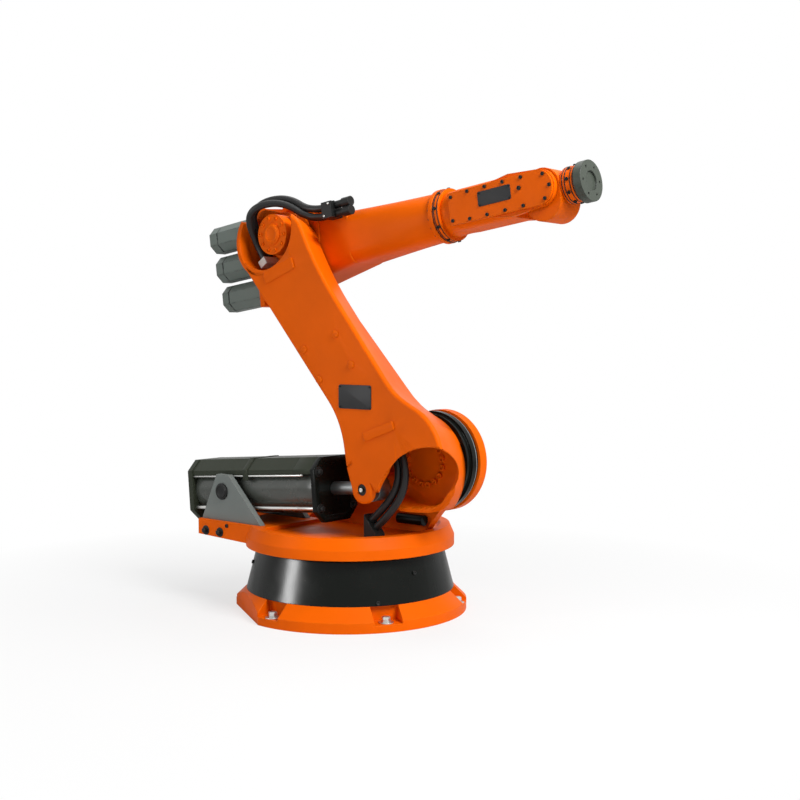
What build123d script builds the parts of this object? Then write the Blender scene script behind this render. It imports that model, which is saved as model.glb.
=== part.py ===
from build123d import *
from math import atan2, cos, degrees, hypot, radians, sin, tan
import os

os.makedirs("parts", exist_ok=True)

# A six-axis floor robot, millimetres. +X is forward, +Z up, -Y its right side, which carries the link arm.
# The origin is where the turning axis of the carousel meets the floor.

# Axes: carousel to shoulder, shoulder to elbow, elbow to wrist bend, wrist bend to tool face
SHOULDER_OFFSET = 480.0
SHOULDER_HEIGHT = 720.0
LINK_LENGTH = 1250.0
LINK_LEAN = 34.9
ARM_PITCH = 7.5
ARM_REACH = 1350.0
ROLL_AXIS_DROP = 55.0
TOOL_REACH = 186.0

# Gaps shared by the pieces that move past each other, and how far a cut runs past a face
RUNNING_GAP = 0.3
SHAFT_GAP = 0.05
SWING_GAP = 8.0
OVERRUN = 40.0

# Floor flange and black cone of the base
FLANGE_RADIUS = 548.0
FLANGE_FLAT_CUT = 48.0
FLANGE_FLAT_ANGLE = 120.0
FLANGE_RIM = 46.0
FLANGE_HEIGHT = 104.0
BOLT_EDGE = 40.0
BOLT_COUNT = 6
BOLT_HOLE = 13.5
POCKET_WIDTH = 130.0
POCKET_DEPTH = 86.0
POCKET_FLOOR = 34.0
FLANGE_SLOPE = 60.0
CONE_TAPER = 48.0
CONE_HEIGHT = 188.0
BEARING_RADIUS = 400.0
BEARING_HEIGHT = 12.0

# Carousel casting: round deck, shoulder ear on the left, counterbalance shelf on the right
DECK_RADIUS = 490.0
DECK_TOP_RADIUS = 468.0
DECK_HEIGHT = 96.0
DECK_BAND = 44.0
DECK_LIP = 42.0
DECK_SINK = 18.0
EAR_RADIUS = 228.0
EAR_INNER = 70.0
EAR_THICKNESS = 46.0
EAR_REAR_FOOT = -400.0
EAR_FRONT_FOOT = 362.0
EAR_KNEE_X = 478.0
EAR_KNEE_HEIGHT = 487.0
EAR_KNEE_FILLET = 130.0
EAR_FRONT_ANGLE = 24.0
SHELF_REAR = -640.0
SHELF_FRONT = -180.0
SHELF_HEIGHT = 74.0
SHELF_OVERHANG = 20.0
SHELF_BAY_FRONT = 10.0
SHELF_BAY_MARGIN = 5.0

# Shoulder gear between ear and link arm
GEAR_RADIUS = 214.0
GEAR_RIM_RADIUS = 224.0
GEAR_RIM = 26.0

# Drive motors
MOTOR_CHAMFER_SHARE = 0.28
MOTOR_CAP_SHARE = 0.16
MOTOR_FLANGE_SHARE = 0.6
MOTOR_GROOVE = 5.0
SHOULDER_MOTOR_SIZE = 180.0
SHOULDER_MOTOR_LENGTH = 330.0
SHOULDER_MOTOR_X = 230.0
SHOULDER_MOTOR_HEIGHT = 640.0
SLEW_MOTOR_SIZE = 180.0
SLEW_MOTOR_LENGTH = 330.0
SLEW_MOTOR_X = -60.0
SLEW_MOTOR_Y = 265.0
ELBOW_MOTOR_SIZE = 160.0
ELBOW_MOTOR_LENGTH = 290.0
WRIST_MOTOR_SIZE = 130.0
WRIST_MOTOR_PITCH = 155.0
WRIST_MOTOR_LENGTHS = (373.0, 346.0, 319.0)
MOTOR_FLANGE = 26.0

# Counterbalance: barrel on trunnions, rod to a lug of the link arm
TRUNNION_X = -490.0
BARREL_CLEARANCE = 25.4
COUNTER_Y = -200.0
BARREL_RADIUS = 114.0
BARREL_REAR = 250.0
BARREL_FRONT = 447.0
END_PLATE_WIDTH = 268.0
END_PLATE_HEIGHT = 296.0
END_PLATE_CHAMFER = 52.0
REAR_PLATE = 30.0
FRONT_HEAD = 140.0
TIE_ROD_RADIUS = 9.0
TIE_ROD_INSET = 26.0
HOOD_SHEET = 5.0
HOOD_HALF_WIDTH = 128.0
TRUNNION_RADIUS = 32.0
TRUNNION_BOSS = 44.0
BRACKET_GAP = 7.0
BRACKET_SHEET = 30.0
BRACKET_APEX_WIDTH = 80.0
BRACKET_APEX_RISE = 80.0
BRACKET_REAR = 145.0
BRACKET_FRONT = 262.0
ROD_RADIUS = 30.0
ROD_TAIL = 200.0
ROD_BORE_START = 120.0
ROD_BORE_ROOM = 6.0
EYE_RADIUS = 58.0
EYE_WIDTH = 70.0
PIN_RADIUS = 26.0
PIN_ALONG = -7.0
PIN_BACK = 186.0
PIN_CLEAR = 5.0

# Link arm: hollow casting from shoulder to elbow, drawn upright
LINK_RIGHT = -290.0
LINK_LEFT_LOW = -8.0
LINK_LEFT_HIGH = -130.0
LINK_STEP_LOW_SHARE = 0.2
LINK_STEP_HIGH_SHARE = 0.55
LINK_WALL = 26.0
LINK_FOOT_RADIUS = 245.0
LINK_FOOT_REAR_RADIUS = 216.0
LINK_FOOT_FRONT = 55.0
LINK_FRONT_SLANT = 22.0
LINK_FRONT_LAND = 8.0
LINK_TOE_FRONT = 272.0
LINK_TOE_RISE = 112.0
LINK_CALF_FRONT = 203.0
LINK_CALF_SHARE = 0.192
LINK_CALF_FILLET = 300.0
LINK_KNEE_FRONT = 148.0
LINK_KNEE_SHARE = 0.752
LINK_KNEE_FILLET_SHARE = 1.2
LINK_WAIST_REAR = 126.0
LINK_WAIST_SHARE = 0.248
LINK_WAIST_FILLET_SHARE = 0.32
LINK_HEEL_REAR = 212.0
LINK_HEEL = 122.0
LINK_BROW_RADIUS = 150.0
LINK_BROW_FRONT = 25.0
LINK_BROW_DROP = 80.0
LINK_HEAD_RADIUS = 165.0
LINK_HEAD_BACK = 70.0
LINK_HEAD_RISE = 10.0
LINK_HUB_RADIUS = 112.0
LINK_HUB_DEPTH = 60.0
LINK_HEAD_TOP = 146.0
LINK_HEAD_SLOPE = 44.0
FOOT_ARCH = -6.0
FOOT_ARCH_RADIUS = 353.0
FOOT_ARCH_FRONT = 60.0
FOOT_CUT_TOP = 100.0
FOOT_CUT_LOW = 150.0
FOOT_LIP = 195.0
FOOT_LIP_FILLET = 130.0
LUG_RADIUS = 62.0
LUG_ROOT_WIDTH = 110.0
LUG_BOSS = 60.0
WINDOW_HEIGHT = 210.0
WINDOW_LEFT = -148.0
MOUTH_RADIUS = 176.0
MOUTH_RISE = 40.0
MOUTH_BACK = 36.0
MOUTH_FRONT = -15.0
BOSS_RADIUS = 93.0
BOSS_LENGTH = 84.0
BOSS_ROOM = 8.0
ELBOW_HUB_RADIUS = 104.0
LINK_EDGE_FILLET = 14.0
PAD_RISE = 7.0
FOOT_PAD_SHARE = 0.12
FOOT_PAD_FRONT = 46.0
FOOT_PAD_SIZE = (181.0, 38.0)
HEAD_PAD_SHARE = 0.86
HEAD_PAD_FRONT = -46.0
HEAD_PAD_SIZE = (200.0, 52.0)
PAD_TILT = 15.0
LIFT_BOSS_RADIUS = 17.0
LIFT_BOSS_PITCH = 205.0
LIFT_BOSS_SHARES = (0.4, 0.53)
LIFT_BOSS_FRONT = -22.0

# Forearm casting, drawn level with the elbow at its origin
ARM_HALF_WIDTH = 118.0
ARM_REAR = 262.0
ARM_REAR_TOP = 184.0
ARM_REAR_FOOT = 285.0
ARM_TOP = 96.0
ARM_KNEE = 170.0
ARM_KNEE_DEPTH = 208.0
ARM_NECK = 330.0
ARM_NECK_TOP = 62.0
ARM_NECK_DEPTH = 180.0
ARM_NECK_FILLET = 60.0
ARM_KEEL_FILLET = 45.0
TUBE_RADIUS = 107.0
TUBE_END = 795.0
ROLL_RING_RADIUS = 119.0
ROLL_RING = 20.0
REAR_PLATE_THICKNESS = 30.0
REAR_PLATE_MARGIN = 8.0

# Wrist fork, its covers, the hand and the tool flange
WRIST_RING_RADIUS = 115.0
WRIST_RING = 34.0
WRIST_HALF_HEIGHT = 88.0
WRIST_HALF_WIDTH = 100.0
WRIST_BLOCK = 930.0
CHEEK_SHEET = 20.0
CHEEK_END_RADIUS = 76.0
COVER_SHEET = 12.0
COVER_START = 905.0
COVER_HALF_HEIGHT = 68.0
COVER_END_RADIUS = 72.0
HUB_RADIUS = 84.0
HUB_HALF_WIDTH = 74.0
BULGE_RADIUS = 84.0
BULGE_DROP = 48.0
HUB_BOSS_RADIUS = 50.0
NECK_RADIUS = 66.0
NECK_RING_RADIUS = 75.0
NECK_RING = 64.0
TOOL_RADIUS = 84.0
TOOL_THICKNESS = 35.0
TOOL_BOLT_CIRCLE = 62.5
TOOL_BOLT_COUNT = 6
TOOL_BOLT_HOLE = 5.0
TOOL_BOLT_DEPTH = 18.0
TOOL_PILOT = 40.0
TOOL_PILOT_DEPTH = 8.0

# Hoses and the blocks that hold them
HOSE_RADIUS = 17.0
HOSE_PITCH = 40.0
CLAMP_LENGTH = 110.0
CLAMP_WIDTH = 60.0
CLAMP_HEIGHT = 46.0
DECK_CLAMP_X = 308.0
DECK_CLAMP_Y = -180.0
DECK_CLAMP_SLOPE = 50.0
DECK_CLAMP_HEIGHT = 62.0
LINK_CLAMP_ALONG = 190.0
LINK_CLAMP_FRONT = 20.0
LINK_CLAMP_DEPTH = 186.0
SOCKET_BACK = 150.0
SOCKET_DROP = 46.0
SOCKET_DEPTH = 88.0
SOCKET_WIDTH = 46.0
SOCKET_HEIGHT = 36.0
ARM_CLAMP_ALONG = 246.0
ARM_CLAMP_RISE = 66.0
ARM_CLAMP_DEPTH = 72.0
ARM_CLAMP_HEIGHT = 74.0
CONNECTOR_X = 337.0
CONNECTOR_HEIGHT = 441.0
CONNECTOR_RADIUS = 24.0
CONNECTOR_LENGTH = 150.0
STUB_LENGTH = 92.0
STUB_CAP = 5.0
HOSE_RUN_SHARE = 0.45
LOOP_SPREAD_SHARE = 0.07

# Places worked out from the sizes above
FLANGE_FLAT = FLANGE_RADIUS - FLANGE_FLAT_CUT
BOLT_CIRCLE = FLANGE_RADIUS - BOLT_EDGE
CONE_FOOT_RADIUS = FLANGE_RADIUS - FLANGE_SLOPE
CONE_TOP_RADIUS = CONE_FOOT_RADIUS - CONE_TAPER
LINK_CALF = LINK_LENGTH * LINK_CALF_SHARE
LINK_KNEE = LINK_LENGTH * LINK_KNEE_SHARE
LINK_KNEE_FILLET = LINK_LENGTH * LINK_KNEE_FILLET_SHARE
LINK_WAIST = LINK_LENGTH * LINK_WAIST_SHARE
LINK_WAIST_FILLET = LINK_LENGTH * LINK_WAIST_FILLET_SHARE
LINK_STEP_LOW = LINK_LENGTH * LINK_STEP_LOW_SHARE
LINK_STEP_HIGH = LINK_LENGTH * LINK_STEP_HIGH_SHARE
CONE_TOP = FLANGE_HEIGHT + CONE_HEIGHT
DECK_FLOOR = CONE_TOP + BEARING_HEIGHT + RUNNING_GAP
DECK_TOP = DECK_FLOOR + DECK_HEIGHT
SHELF_TOP = DECK_TOP + RUNNING_GAP
TRUNNION_HEIGHT = SHELF_TOP + BARREL_RADIUS + BARREL_CLEARANCE
LEAN = radians(LINK_LEAN)
ELBOW_X = SHOULDER_OFFSET - LINK_LENGTH * sin(LEAN)
ELBOW_HEIGHT = SHOULDER_HEIGHT + LINK_LENGTH * cos(LEAN)
PIN_X = SHOULDER_OFFSET - PIN_ALONG * sin(LEAN) - PIN_BACK * cos(LEAN)
PIN_HEIGHT = SHOULDER_HEIGHT + PIN_ALONG * cos(LEAN) - PIN_BACK * sin(LEAN)
COUNTER_TILT = degrees(atan2(PIN_HEIGHT - TRUNNION_HEIGHT, PIN_X - TRUNNION_X))
COUNTER_LENGTH = hypot(PIN_HEIGHT - TRUNNION_HEIGHT, PIN_X - TRUNNION_X)
EAR_OUTER = EAR_INNER + EAR_THICKNESS
BRACKET_INNER = HOOD_HALF_WIDTH + BRACKET_GAP
ARM_RIGHT = -ARM_HALF_WIDTH
THROAT = ARM_REACH - BULGE_DROP - BULGE_RADIUS - SWING_GAP
TOOL_BACK = TOOL_REACH - TOOL_THICKNESS


def outline(*points):
    """A flat face through the points, closed."""
    return make_face(Polyline(*points, close=True))


def slab(face, right, left):
    """A face drawn in X and Z, thickened between two places across the robot."""
    return extrude(Plane.XZ.offset(-left) * face, amount=left - right)


def disc_across(x, z, radius, right, left):
    """A round piece lying across the robot."""
    return slab(Pos(x, z) * Circle(radius), right, left)


def bar(face, start, end):
    """A face drawn in Y and Z, run along X from start to end."""
    return extrude(Plane.YZ.offset(start) * face, amount=end - start)


def on_link(shape):
    """From the upright link, shoulder at the origin, to the link as it leans."""
    return Pos(SHOULDER_OFFSET, 0, SHOULDER_HEIGHT) * Rot(0, -LINK_LEAN, 0) * shape


def on_arm(shape):
    """From the level forearm, elbow at the origin, to the forearm as it points."""
    return Pos(ELBOW_X, 0, ELBOW_HEIGHT) * Rot(0, -ARM_PITCH, 0) * shape


def on_roll_axis(shape):
    """From a piece drawn about the X axis to the wrist's roll axis."""
    return on_arm(Pos(0, 0, -ROLL_AXIS_DROP) * shape)


def on_counter(shape):
    """From the level counterbalance, trunnion at the origin, to its place beside the link."""
    return Pos(TRUNNION_X, COUNTER_Y, TRUNNION_HEIGHT) * Rot(0, -COUNTER_TILT, 0) * shape


def save(name, shape):
    """Write one piece under its node's name."""
    export_step(shape, f"parts/{name}.step")


def motor(size, length):
    """A servo motor along +X from its mounting face: eight-sided body, grooved before its end cap."""
    corner = size * MOTOR_CHAMFER_SHARE
    cap = length * MOTOR_CAP_SHARE
    section = chamfer(Rectangle(size, size).vertices(), corner)
    waist = offset(section, amount=-MOTOR_GROOVE)
    body = bar(section, 0, length - cap)
    groove = bar(waist, length - cap, length - cap + MOTOR_GROOVE)
    end = bar(section, length - cap + MOTOR_GROOVE, length)
    return body + groove + end


# Base: floor flange with bolt pockets, cone and slewing bearing
flange_profile = outline(
    (0, 0),
    (FLANGE_RADIUS, 0),
    (FLANGE_RADIUS, FLANGE_RIM),
    (CONE_FOOT_RADIUS, FLANGE_HEIGHT),
    (0, FLANGE_HEIGHT),
)
base_flange = revolve(Plane.XZ * flange_profile, Axis.Z)
for side in (-1, 1):
    beyond = Pos(FLANGE_FLAT + FLANGE_RADIUS / 2, 0, FLANGE_HEIGHT / 2)
    flat = Box(FLANGE_RADIUS, FLANGE_RADIUS * 2, FLANGE_HEIGHT + OVERRUN)
    base_flange -= Rot(0, 0, side * FLANGE_FLAT_ANGLE) * beyond * flat
for place in PolarLocations(0, BOLT_COUNT, start_angle=180 / BOLT_COUNT):
    pocket_inner = FLANGE_RADIUS - POCKET_DEPTH
    pocket = Pos(pocket_inner + FLANGE_RADIUS / 2, 0, POCKET_FLOOR + FLANGE_HEIGHT / 2)
    base_flange -= place * pocket * Box(FLANGE_RADIUS, POCKET_WIDTH, FLANGE_HEIGHT)
    bolt_hole = Cylinder(BOLT_HOLE, POCKET_FLOOR + OVERRUN)
    base_flange -= place * Pos(BOLT_CIRCLE, 0, POCKET_FLOOR / 2) * bolt_hole
save("base_flange", base_flange)

cone_middle = FLANGE_HEIGHT + CONE_HEIGHT / 2
base_cone = Pos(0, 0, cone_middle) * Cone(CONE_FOOT_RADIUS, CONE_TOP_RADIUS, CONE_HEIGHT)
save("base_cone", base_cone)

slew_bearing = Pos(0, 0, CONE_TOP + BEARING_HEIGHT / 2) * Cylinder(BEARING_RADIUS, BEARING_HEIGHT)
save("slew_bearing", slew_bearing)

# Carousel casting
deck_profile = outline(
    (0, DECK_FLOOR),
    (DECK_RADIUS, DECK_FLOOR),
    (DECK_RADIUS, DECK_FLOOR + DECK_BAND),
    (DECK_TOP_RADIUS, DECK_TOP),
    (DECK_TOP_RADIUS - DECK_LIP, DECK_TOP),
    (DECK_TOP_RADIUS - DECK_LIP - DECK_SINK, DECK_TOP - DECK_SINK),
    (0, DECK_TOP - DECK_SINK),
)
deck = revolve(Plane.XZ * deck_profile, Axis.Z)
ear_root = DECK_FLOOR + DECK_BAND
ear_turn = radians(EAR_FRONT_ANGLE)
ear_wall = outline(
    (EAR_REAR_FOOT, ear_root),
    (EAR_FRONT_FOOT, ear_root),
    (EAR_KNEE_X, EAR_KNEE_HEIGHT),
    (SHOULDER_OFFSET + EAR_RADIUS * cos(ear_turn), SHOULDER_HEIGHT - EAR_RADIUS * sin(ear_turn)),
    (SHOULDER_OFFSET, SHOULDER_HEIGHT + EAR_RADIUS),
)
ear_wall = fillet(ear_wall.vertices().sort_by_distance((EAR_KNEE_X, EAR_KNEE_HEIGHT))[0], EAR_KNEE_FILLET)
ear_ring = Pos(SHOULDER_OFFSET, SHOULDER_HEIGHT) * Circle(EAR_RADIUS)
ear = slab(ear_wall + ear_ring, EAR_INNER, EAR_OUTER)
shelf_right = COUNTER_Y - BRACKET_INNER - BRACKET_SHEET - SHELF_OVERHANG
shelf_left = COUNTER_Y + BRACKET_INNER + BRACKET_SHEET + SHELF_OVERHANG
shelf_side = outline(
    (SHELF_REAR, SHELF_TOP),
    (SHELF_REAR, SHELF_TOP - SHELF_HEIGHT),
    (SHELF_FRONT, DECK_FLOOR + DECK_BAND - SHELF_HEIGHT / 2),
    (SHELF_FRONT, SHELF_TOP),
)
shelf = slab(shelf_side, shelf_right, shelf_left)
bay_half = BRACKET_INNER - SHELF_BAY_MARGIN
bay_side = outline(
    (SHELF_REAR - OVERRUN, SHELF_TOP + OVERRUN),
    (SHELF_REAR - OVERRUN, DECK_FLOOR),
    (TRUNNION_X + SHELF_BAY_FRONT, DECK_FLOOR),
    (TRUNNION_X + SHELF_BAY_FRONT, SHELF_TOP + OVERRUN),
)
shelf -= slab(bay_side, COUNTER_Y - bay_half, COUNTER_Y + bay_half)
carousel_casting = deck + ear + shelf
save("carousel_casting", carousel_casting)

# Shoulder gear: hub on the ear, rim running close to the link arm
gear_face = LINK_LEFT_LOW + RUNNING_GAP
shoulder_gear = disc_across(SHOULDER_OFFSET, SHOULDER_HEIGHT, GEAR_RADIUS, gear_face, EAR_INNER)
rim_left = gear_face + GEAR_RIM * 2
shoulder_gear += disc_across(SHOULDER_OFFSET, SHOULDER_HEIGHT, GEAR_RIM_RADIUS, rim_left - GEAR_RIM, rim_left)
save("shoulder_gear", shoulder_gear)

shoulder_flange = Circle(SHOULDER_MOTOR_SIZE * MOTOR_FLANGE_SHARE)
shoulder_motor = bar(shoulder_flange, 0, MOTOR_FLANGE)
shoulder_motor += Pos(MOTOR_FLANGE, 0, 0) * motor(SHOULDER_MOTOR_SIZE, SHOULDER_MOTOR_LENGTH)
shoulder_motor = Pos(SHOULDER_MOTOR_X, EAR_OUTER, SHOULDER_MOTOR_HEIGHT) * Rot(0, 0, 90) * shoulder_motor
save("shoulder_motor", shoulder_motor)

slew_flange = Circle(SLEW_MOTOR_SIZE * MOTOR_FLANGE_SHARE)
slew_motor = bar(slew_flange, 0, MOTOR_FLANGE)
slew_motor += Pos(MOTOR_FLANGE, 0, 0) * motor(SLEW_MOTOR_SIZE, SLEW_MOTOR_LENGTH)
save("slew_motor", Pos(SLEW_MOTOR_X, SLEW_MOTOR_Y, DECK_TOP - DECK_SINK) * Rot(0, -90, 0) * slew_motor)

# Trunnion brackets on the shelf, either side of the counterbalance
bracket_foot = SHELF_TOP - TRUNNION_HEIGHT
bracket_side = outline(
    (-BRACKET_REAR, bracket_foot),
    (BRACKET_FRONT, bracket_foot),
    (BRACKET_APEX_WIDTH / 2, BRACKET_APEX_RISE),
    (-BRACKET_APEX_WIDTH / 2, BRACKET_APEX_RISE),
)
bracket_side -= Circle(TRUNNION_RADIUS + SHAFT_GAP)
bracket_sides = {"right": -BRACKET_INNER - BRACKET_SHEET, "left": BRACKET_INNER}
for name, right in bracket_sides.items():
    bracket = slab(bracket_side, right, right + BRACKET_SHEET)
    save(f"{name}_trunnion_bracket", Pos(TRUNNION_X, COUNTER_Y, TRUNNION_HEIGHT) * bracket)

# Counterbalance barrel with its trunnions, end plates, tie rods and hood
barrel = bar(Circle(BARREL_RADIUS), -BARREL_REAR, BARREL_FRONT)
barrel += disc_across(0, 0, TRUNNION_BOSS, -BRACKET_INNER + RUNNING_GAP, BRACKET_INNER - RUNNING_GAP)
trunnion_end = BRACKET_INNER + BRACKET_SHEET
barrel += disc_across(0, 0, TRUNNION_RADIUS, -trunnion_end, trunnion_end)
barrel -= bar(Circle(ROD_RADIUS + ROD_BORE_ROOM), ROD_BORE_START, BARREL_FRONT)
save("counterbalance_barrel", on_counter(barrel))

plate_face = chamfer(Rectangle(END_PLATE_WIDTH, END_PLATE_HEIGHT).vertices(), END_PLATE_CHAMFER)
rear_plate = bar(plate_face, -BARREL_REAR - REAR_PLATE, -BARREL_REAR)
save("barrel_rear_plate", on_counter(rear_plate))

front_head = bar(plate_face - Circle(ROD_RADIUS + SHAFT_GAP), BARREL_FRONT, BARREL_FRONT + FRONT_HEAD)
save("barrel_front_head", on_counter(front_head))

tie_y = END_PLATE_WIDTH / 2 - TIE_ROD_INSET
tie_z = END_PLATE_HEIGHT / 2 - END_PLATE_CHAMFER - TIE_ROD_INSET / 2
tie_rods = []
for place in GridLocations(tie_y * 2, tie_z * 2, 2, 2):
    tie_rods.append(bar(place * Circle(TIE_ROD_RADIUS), -BARREL_REAR, BARREL_FRONT))
save("barrel_tie_rods", on_counter(Compound(tie_rods)))


def hood_section(inset, mouth):
    """The bent sheet over the barrel: flat top, sloping sides and short lips."""
    half = HOOD_HALF_WIDTH - inset
    top = END_PLATE_HEIGHT / 2 - inset
    lip = tie_z - TIE_ROD_RADIUS - mouth
    return outline(
        (-half, lip),
        (-half, top - END_PLATE_CHAMFER),
        (-half + END_PLATE_CHAMFER, top),
        (half - END_PLATE_CHAMFER, top),
        (half, top - END_PLATE_CHAMFER),
        (half, lip),
    )


hood = bar(hood_section(0, 0) - hood_section(HOOD_SHEET, OVERRUN), -BARREL_REAR, BARREL_FRONT)
save("barrel_hood", on_counter(hood))

# Counterbalance rod and its eye
rod = bar(Circle(ROD_RADIUS), ROD_TAIL, COUNTER_LENGTH)
rod += disc_across(COUNTER_LENGTH, 0, EYE_RADIUS, -EYE_WIDTH / 2, EYE_WIDTH / 2)
rod -= disc_across(COUNTER_LENGTH, 0, PIN_RADIUS, -EYE_WIDTH, EYE_WIDTH)
save("counterbalance_rod", on_counter(rod))


# Link arm, upright: x to the front, z from shoulder to elbow
def link_outline(inset):
    """Side view of the link at its right wall, all round smaller by the inset."""
    brow_height = LINK_LENGTH - LINK_BROW_DROP
    head_height = LINK_LENGTH + LINK_HEAD_RISE
    knee = (LINK_KNEE_FRONT - inset, LINK_KNEE)
    waist = (-LINK_WAIST_REAR + inset, LINK_WAIST)
    calf = (LINK_CALF_FRONT - inset, LINK_CALF)
    flanks = outline(
        (LINK_TOE_FRONT - inset, LINK_TOE_RISE),
        calf,
        knee,
        (LINK_BROW_FRONT + LINK_BROW_RADIUS - inset, brow_height),
        (-LINK_HEAD_BACK - LINK_HEAD_RADIUS + inset, head_height),
        waist,
        (-LINK_HEEL_REAR + inset, LINK_HEEL),
    )
    flanks = fillet(flanks.vertices().sort_by_distance(calf)[0], LINK_CALF_FILLET)
    flanks = fillet(flanks.vertices().sort_by_distance(knee)[0], LINK_KNEE_FILLET)
    flanks = fillet(flanks.vertices().sort_by_distance(waist)[0], LINK_WAIST_FILLET)
    heel = Circle(LINK_FOOT_REAR_RADIUS - inset).edge()
    toe = (Pos(LINK_FOOT_FRONT, 0) * Circle(LINK_FOOT_RADIUS - inset)).edge()
    brow = Pos(LINK_BROW_FRONT, brow_height) * Circle(LINK_BROW_RADIUS - inset)
    head = Pos(-LINK_HEAD_BACK, head_height) * Circle(LINK_HEAD_RADIUS - inset)
    return flanks + make_hull([heel, toe]) + brow + head


def front_slant(inset):
    """The link's outline run across it on the slant, back towards the left."""
    turn = radians(LINK_FRONT_SLANT)
    ahead = LINK_FRONT_LAND + OVERRUN * tan(turn)
    drawn = Plane.XZ.offset(OVERRUN - LINK_RIGHT) * Pos(ahead, 0) * link_outline(inset)
    across = (LINK_LEFT_LOW - LINK_RIGHT + OVERRUN * 2) / cos(turn)
    return extrude(drawn, amount=across, dir=Vector(-sin(turn), cos(turn), 0))


def link_left_relief(shift):
    """What is cut from the link's left side, so that the forearm and its motors swing past."""
    far = LINK_LENGTH + LINK_HEAD_RADIUS + OVERRUN
    wide = LINK_FOOT_RADIUS * 2 + OVERRUN
    relief = outline(
        (LINK_LEFT_LOW + shift + OVERRUN, LINK_STEP_LOW),
        (LINK_LEFT_LOW + shift, LINK_STEP_LOW),
        (LINK_LEFT_HIGH + shift, LINK_STEP_HIGH),
        (LINK_LEFT_HIGH + shift, far),
        (LINK_LEFT_LOW + shift + OVERRUN, far),
    )
    return Pos(-wide / 2, 0, 0) * bar(relief, 0, wide)


link_shell = slab(link_outline(0), LINK_RIGHT, LINK_LEFT_LOW)
link_shell = fillet(link_shell.faces().sort_by(Axis.Y)[0].edges(), LINK_EDGE_FILLET)
link_shell = (link_shell & front_slant(0)) - link_left_relief(0)
cavity = slab(link_outline(LINK_WALL), LINK_RIGHT + LINK_WALL, LINK_LEFT_LOW - LINK_WALL)
cavity = (cavity & front_slant(LINK_WALL)) - link_left_relief(-LINK_WALL)
link_arm = link_shell - cavity

# The foot is open to the right: an arch in the right wall, and a bowl cut back to its lip below
arch = Pos(FOOT_ARCH_FRONT, FOOT_ARCH - FOOT_ARCH_RADIUS) * Circle(FOOT_ARCH_RADIUS)
link_arm -= slab(arch, LINK_RIGHT - OVERRUN, LINK_RIGHT + LINK_WALL)
foot_reach = LINK_FOOT_RADIUS + LINK_FOOT_FRONT + OVERRUN
foot_cut = outline(
    (LINK_RIGHT - OVERRUN, -FOOT_CUT_TOP),
    (LINK_RIGHT + LINK_WALL, -FOOT_CUT_TOP),
    (LINK_RIGHT + FOOT_LIP, -FOOT_CUT_LOW),
    (LINK_RIGHT + FOOT_LIP, -foot_reach),
    (LINK_RIGHT - OVERRUN, -foot_reach),
)
lip_corner = (LINK_RIGHT + FOOT_LIP, -FOOT_CUT_LOW)
foot_cut = fillet(foot_cut.vertices().sort_by_distance(lip_corner)[0], FOOT_LIP_FILLET)
link_arm -= Pos(-foot_reach, 0, 0) * bar(foot_cut, 0, foot_reach * 2)
lug_front = LUG_RADIUS - PIN_BACK
below_lug = Pos((lug_front - foot_reach) / 2, (PIN_ALONG - foot_reach) / 2)
below_lug *= Rectangle(lug_front + foot_reach, PIN_ALONG + foot_reach)
link_arm -= slab(below_lug, LINK_RIGHT - OVERRUN, LINK_RIGHT + LINK_WALL)

# A window behind and below lets the counterbalance rod swing through
window_right = LINK_RIGHT + LINK_WALL
window = Pos(-LINK_FOOT_RADIUS, (window_right + WINDOW_LEFT) / 2, 0) * Box(
    LINK_FOOT_RADIUS, WINDOW_LEFT - window_right, WINDOW_HEIGHT * 2
)
link_arm -= window

# Cast pads and lifting bosses on the right wall
foot_pad = Rot(0, 0, -PAD_TILT) * RectangleRounded(*FOOT_PAD_SIZE, PAD_RISE)
head_pad = Rot(0, 0, -PAD_TILT) * RectangleRounded(*HEAD_PAD_SIZE, PAD_RISE)
pad_faces = [
    Pos(FOOT_PAD_FRONT, LINK_LENGTH * FOOT_PAD_SHARE) * foot_pad,
    Pos(HEAD_PAD_FRONT, LINK_LENGTH * HEAD_PAD_SHARE) * head_pad,
]
for share in LIFT_BOSS_SHARES:
    for side in (-1, 1):
        boss_place = Pos(LIFT_BOSS_FRONT, LINK_LENGTH * share) * Rot(0, 0, -PAD_TILT)
        pad_faces.append(boss_place * Pos(side * LIFT_BOSS_PITCH / 2, 0) * Circle(LIFT_BOSS_RADIUS))
for pad_face in pad_faces:
    link_arm += slab(pad_face, LINK_RIGHT - PAD_RISE, LINK_RIGHT + LINK_WALL / 2)

# The lug for the rod's pin hangs from the right wall, and a boss stands across from it
lug = Pos(-PIN_BACK, PIN_ALONG) * Circle(LUG_RADIUS)
lug_root = outline(
    (-PIN_BACK - LUG_RADIUS, PIN_ALONG),
    (lug_front, PIN_ALONG),
    (-LINK_HEEL_REAR + LUG_ROOT_WIDTH, LINK_HEEL),
    (-LINK_HEEL_REAR, LINK_HEEL),
)
lug_wall = slab(lug + lug_root, LINK_RIGHT, LINK_RIGHT + LINK_WALL)
link_arm += fillet(lug_wall.faces().sort_by(Axis.Y)[0].edges(), LINK_EDGE_FILLET)
eye_left = COUNTER_Y + EYE_WIDTH / 2 + PIN_CLEAR
link_arm += disc_across(-PIN_BACK, PIN_ALONG, LUG_BOSS, eye_left, LINK_LEFT_LOW - LINK_WALL / 2)
link_arm -= disc_across(-PIN_BACK, PIN_ALONG, PIN_RADIUS, LINK_RIGHT - OVERRUN, LINK_LEFT_LOW - LINK_WALL)

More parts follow.
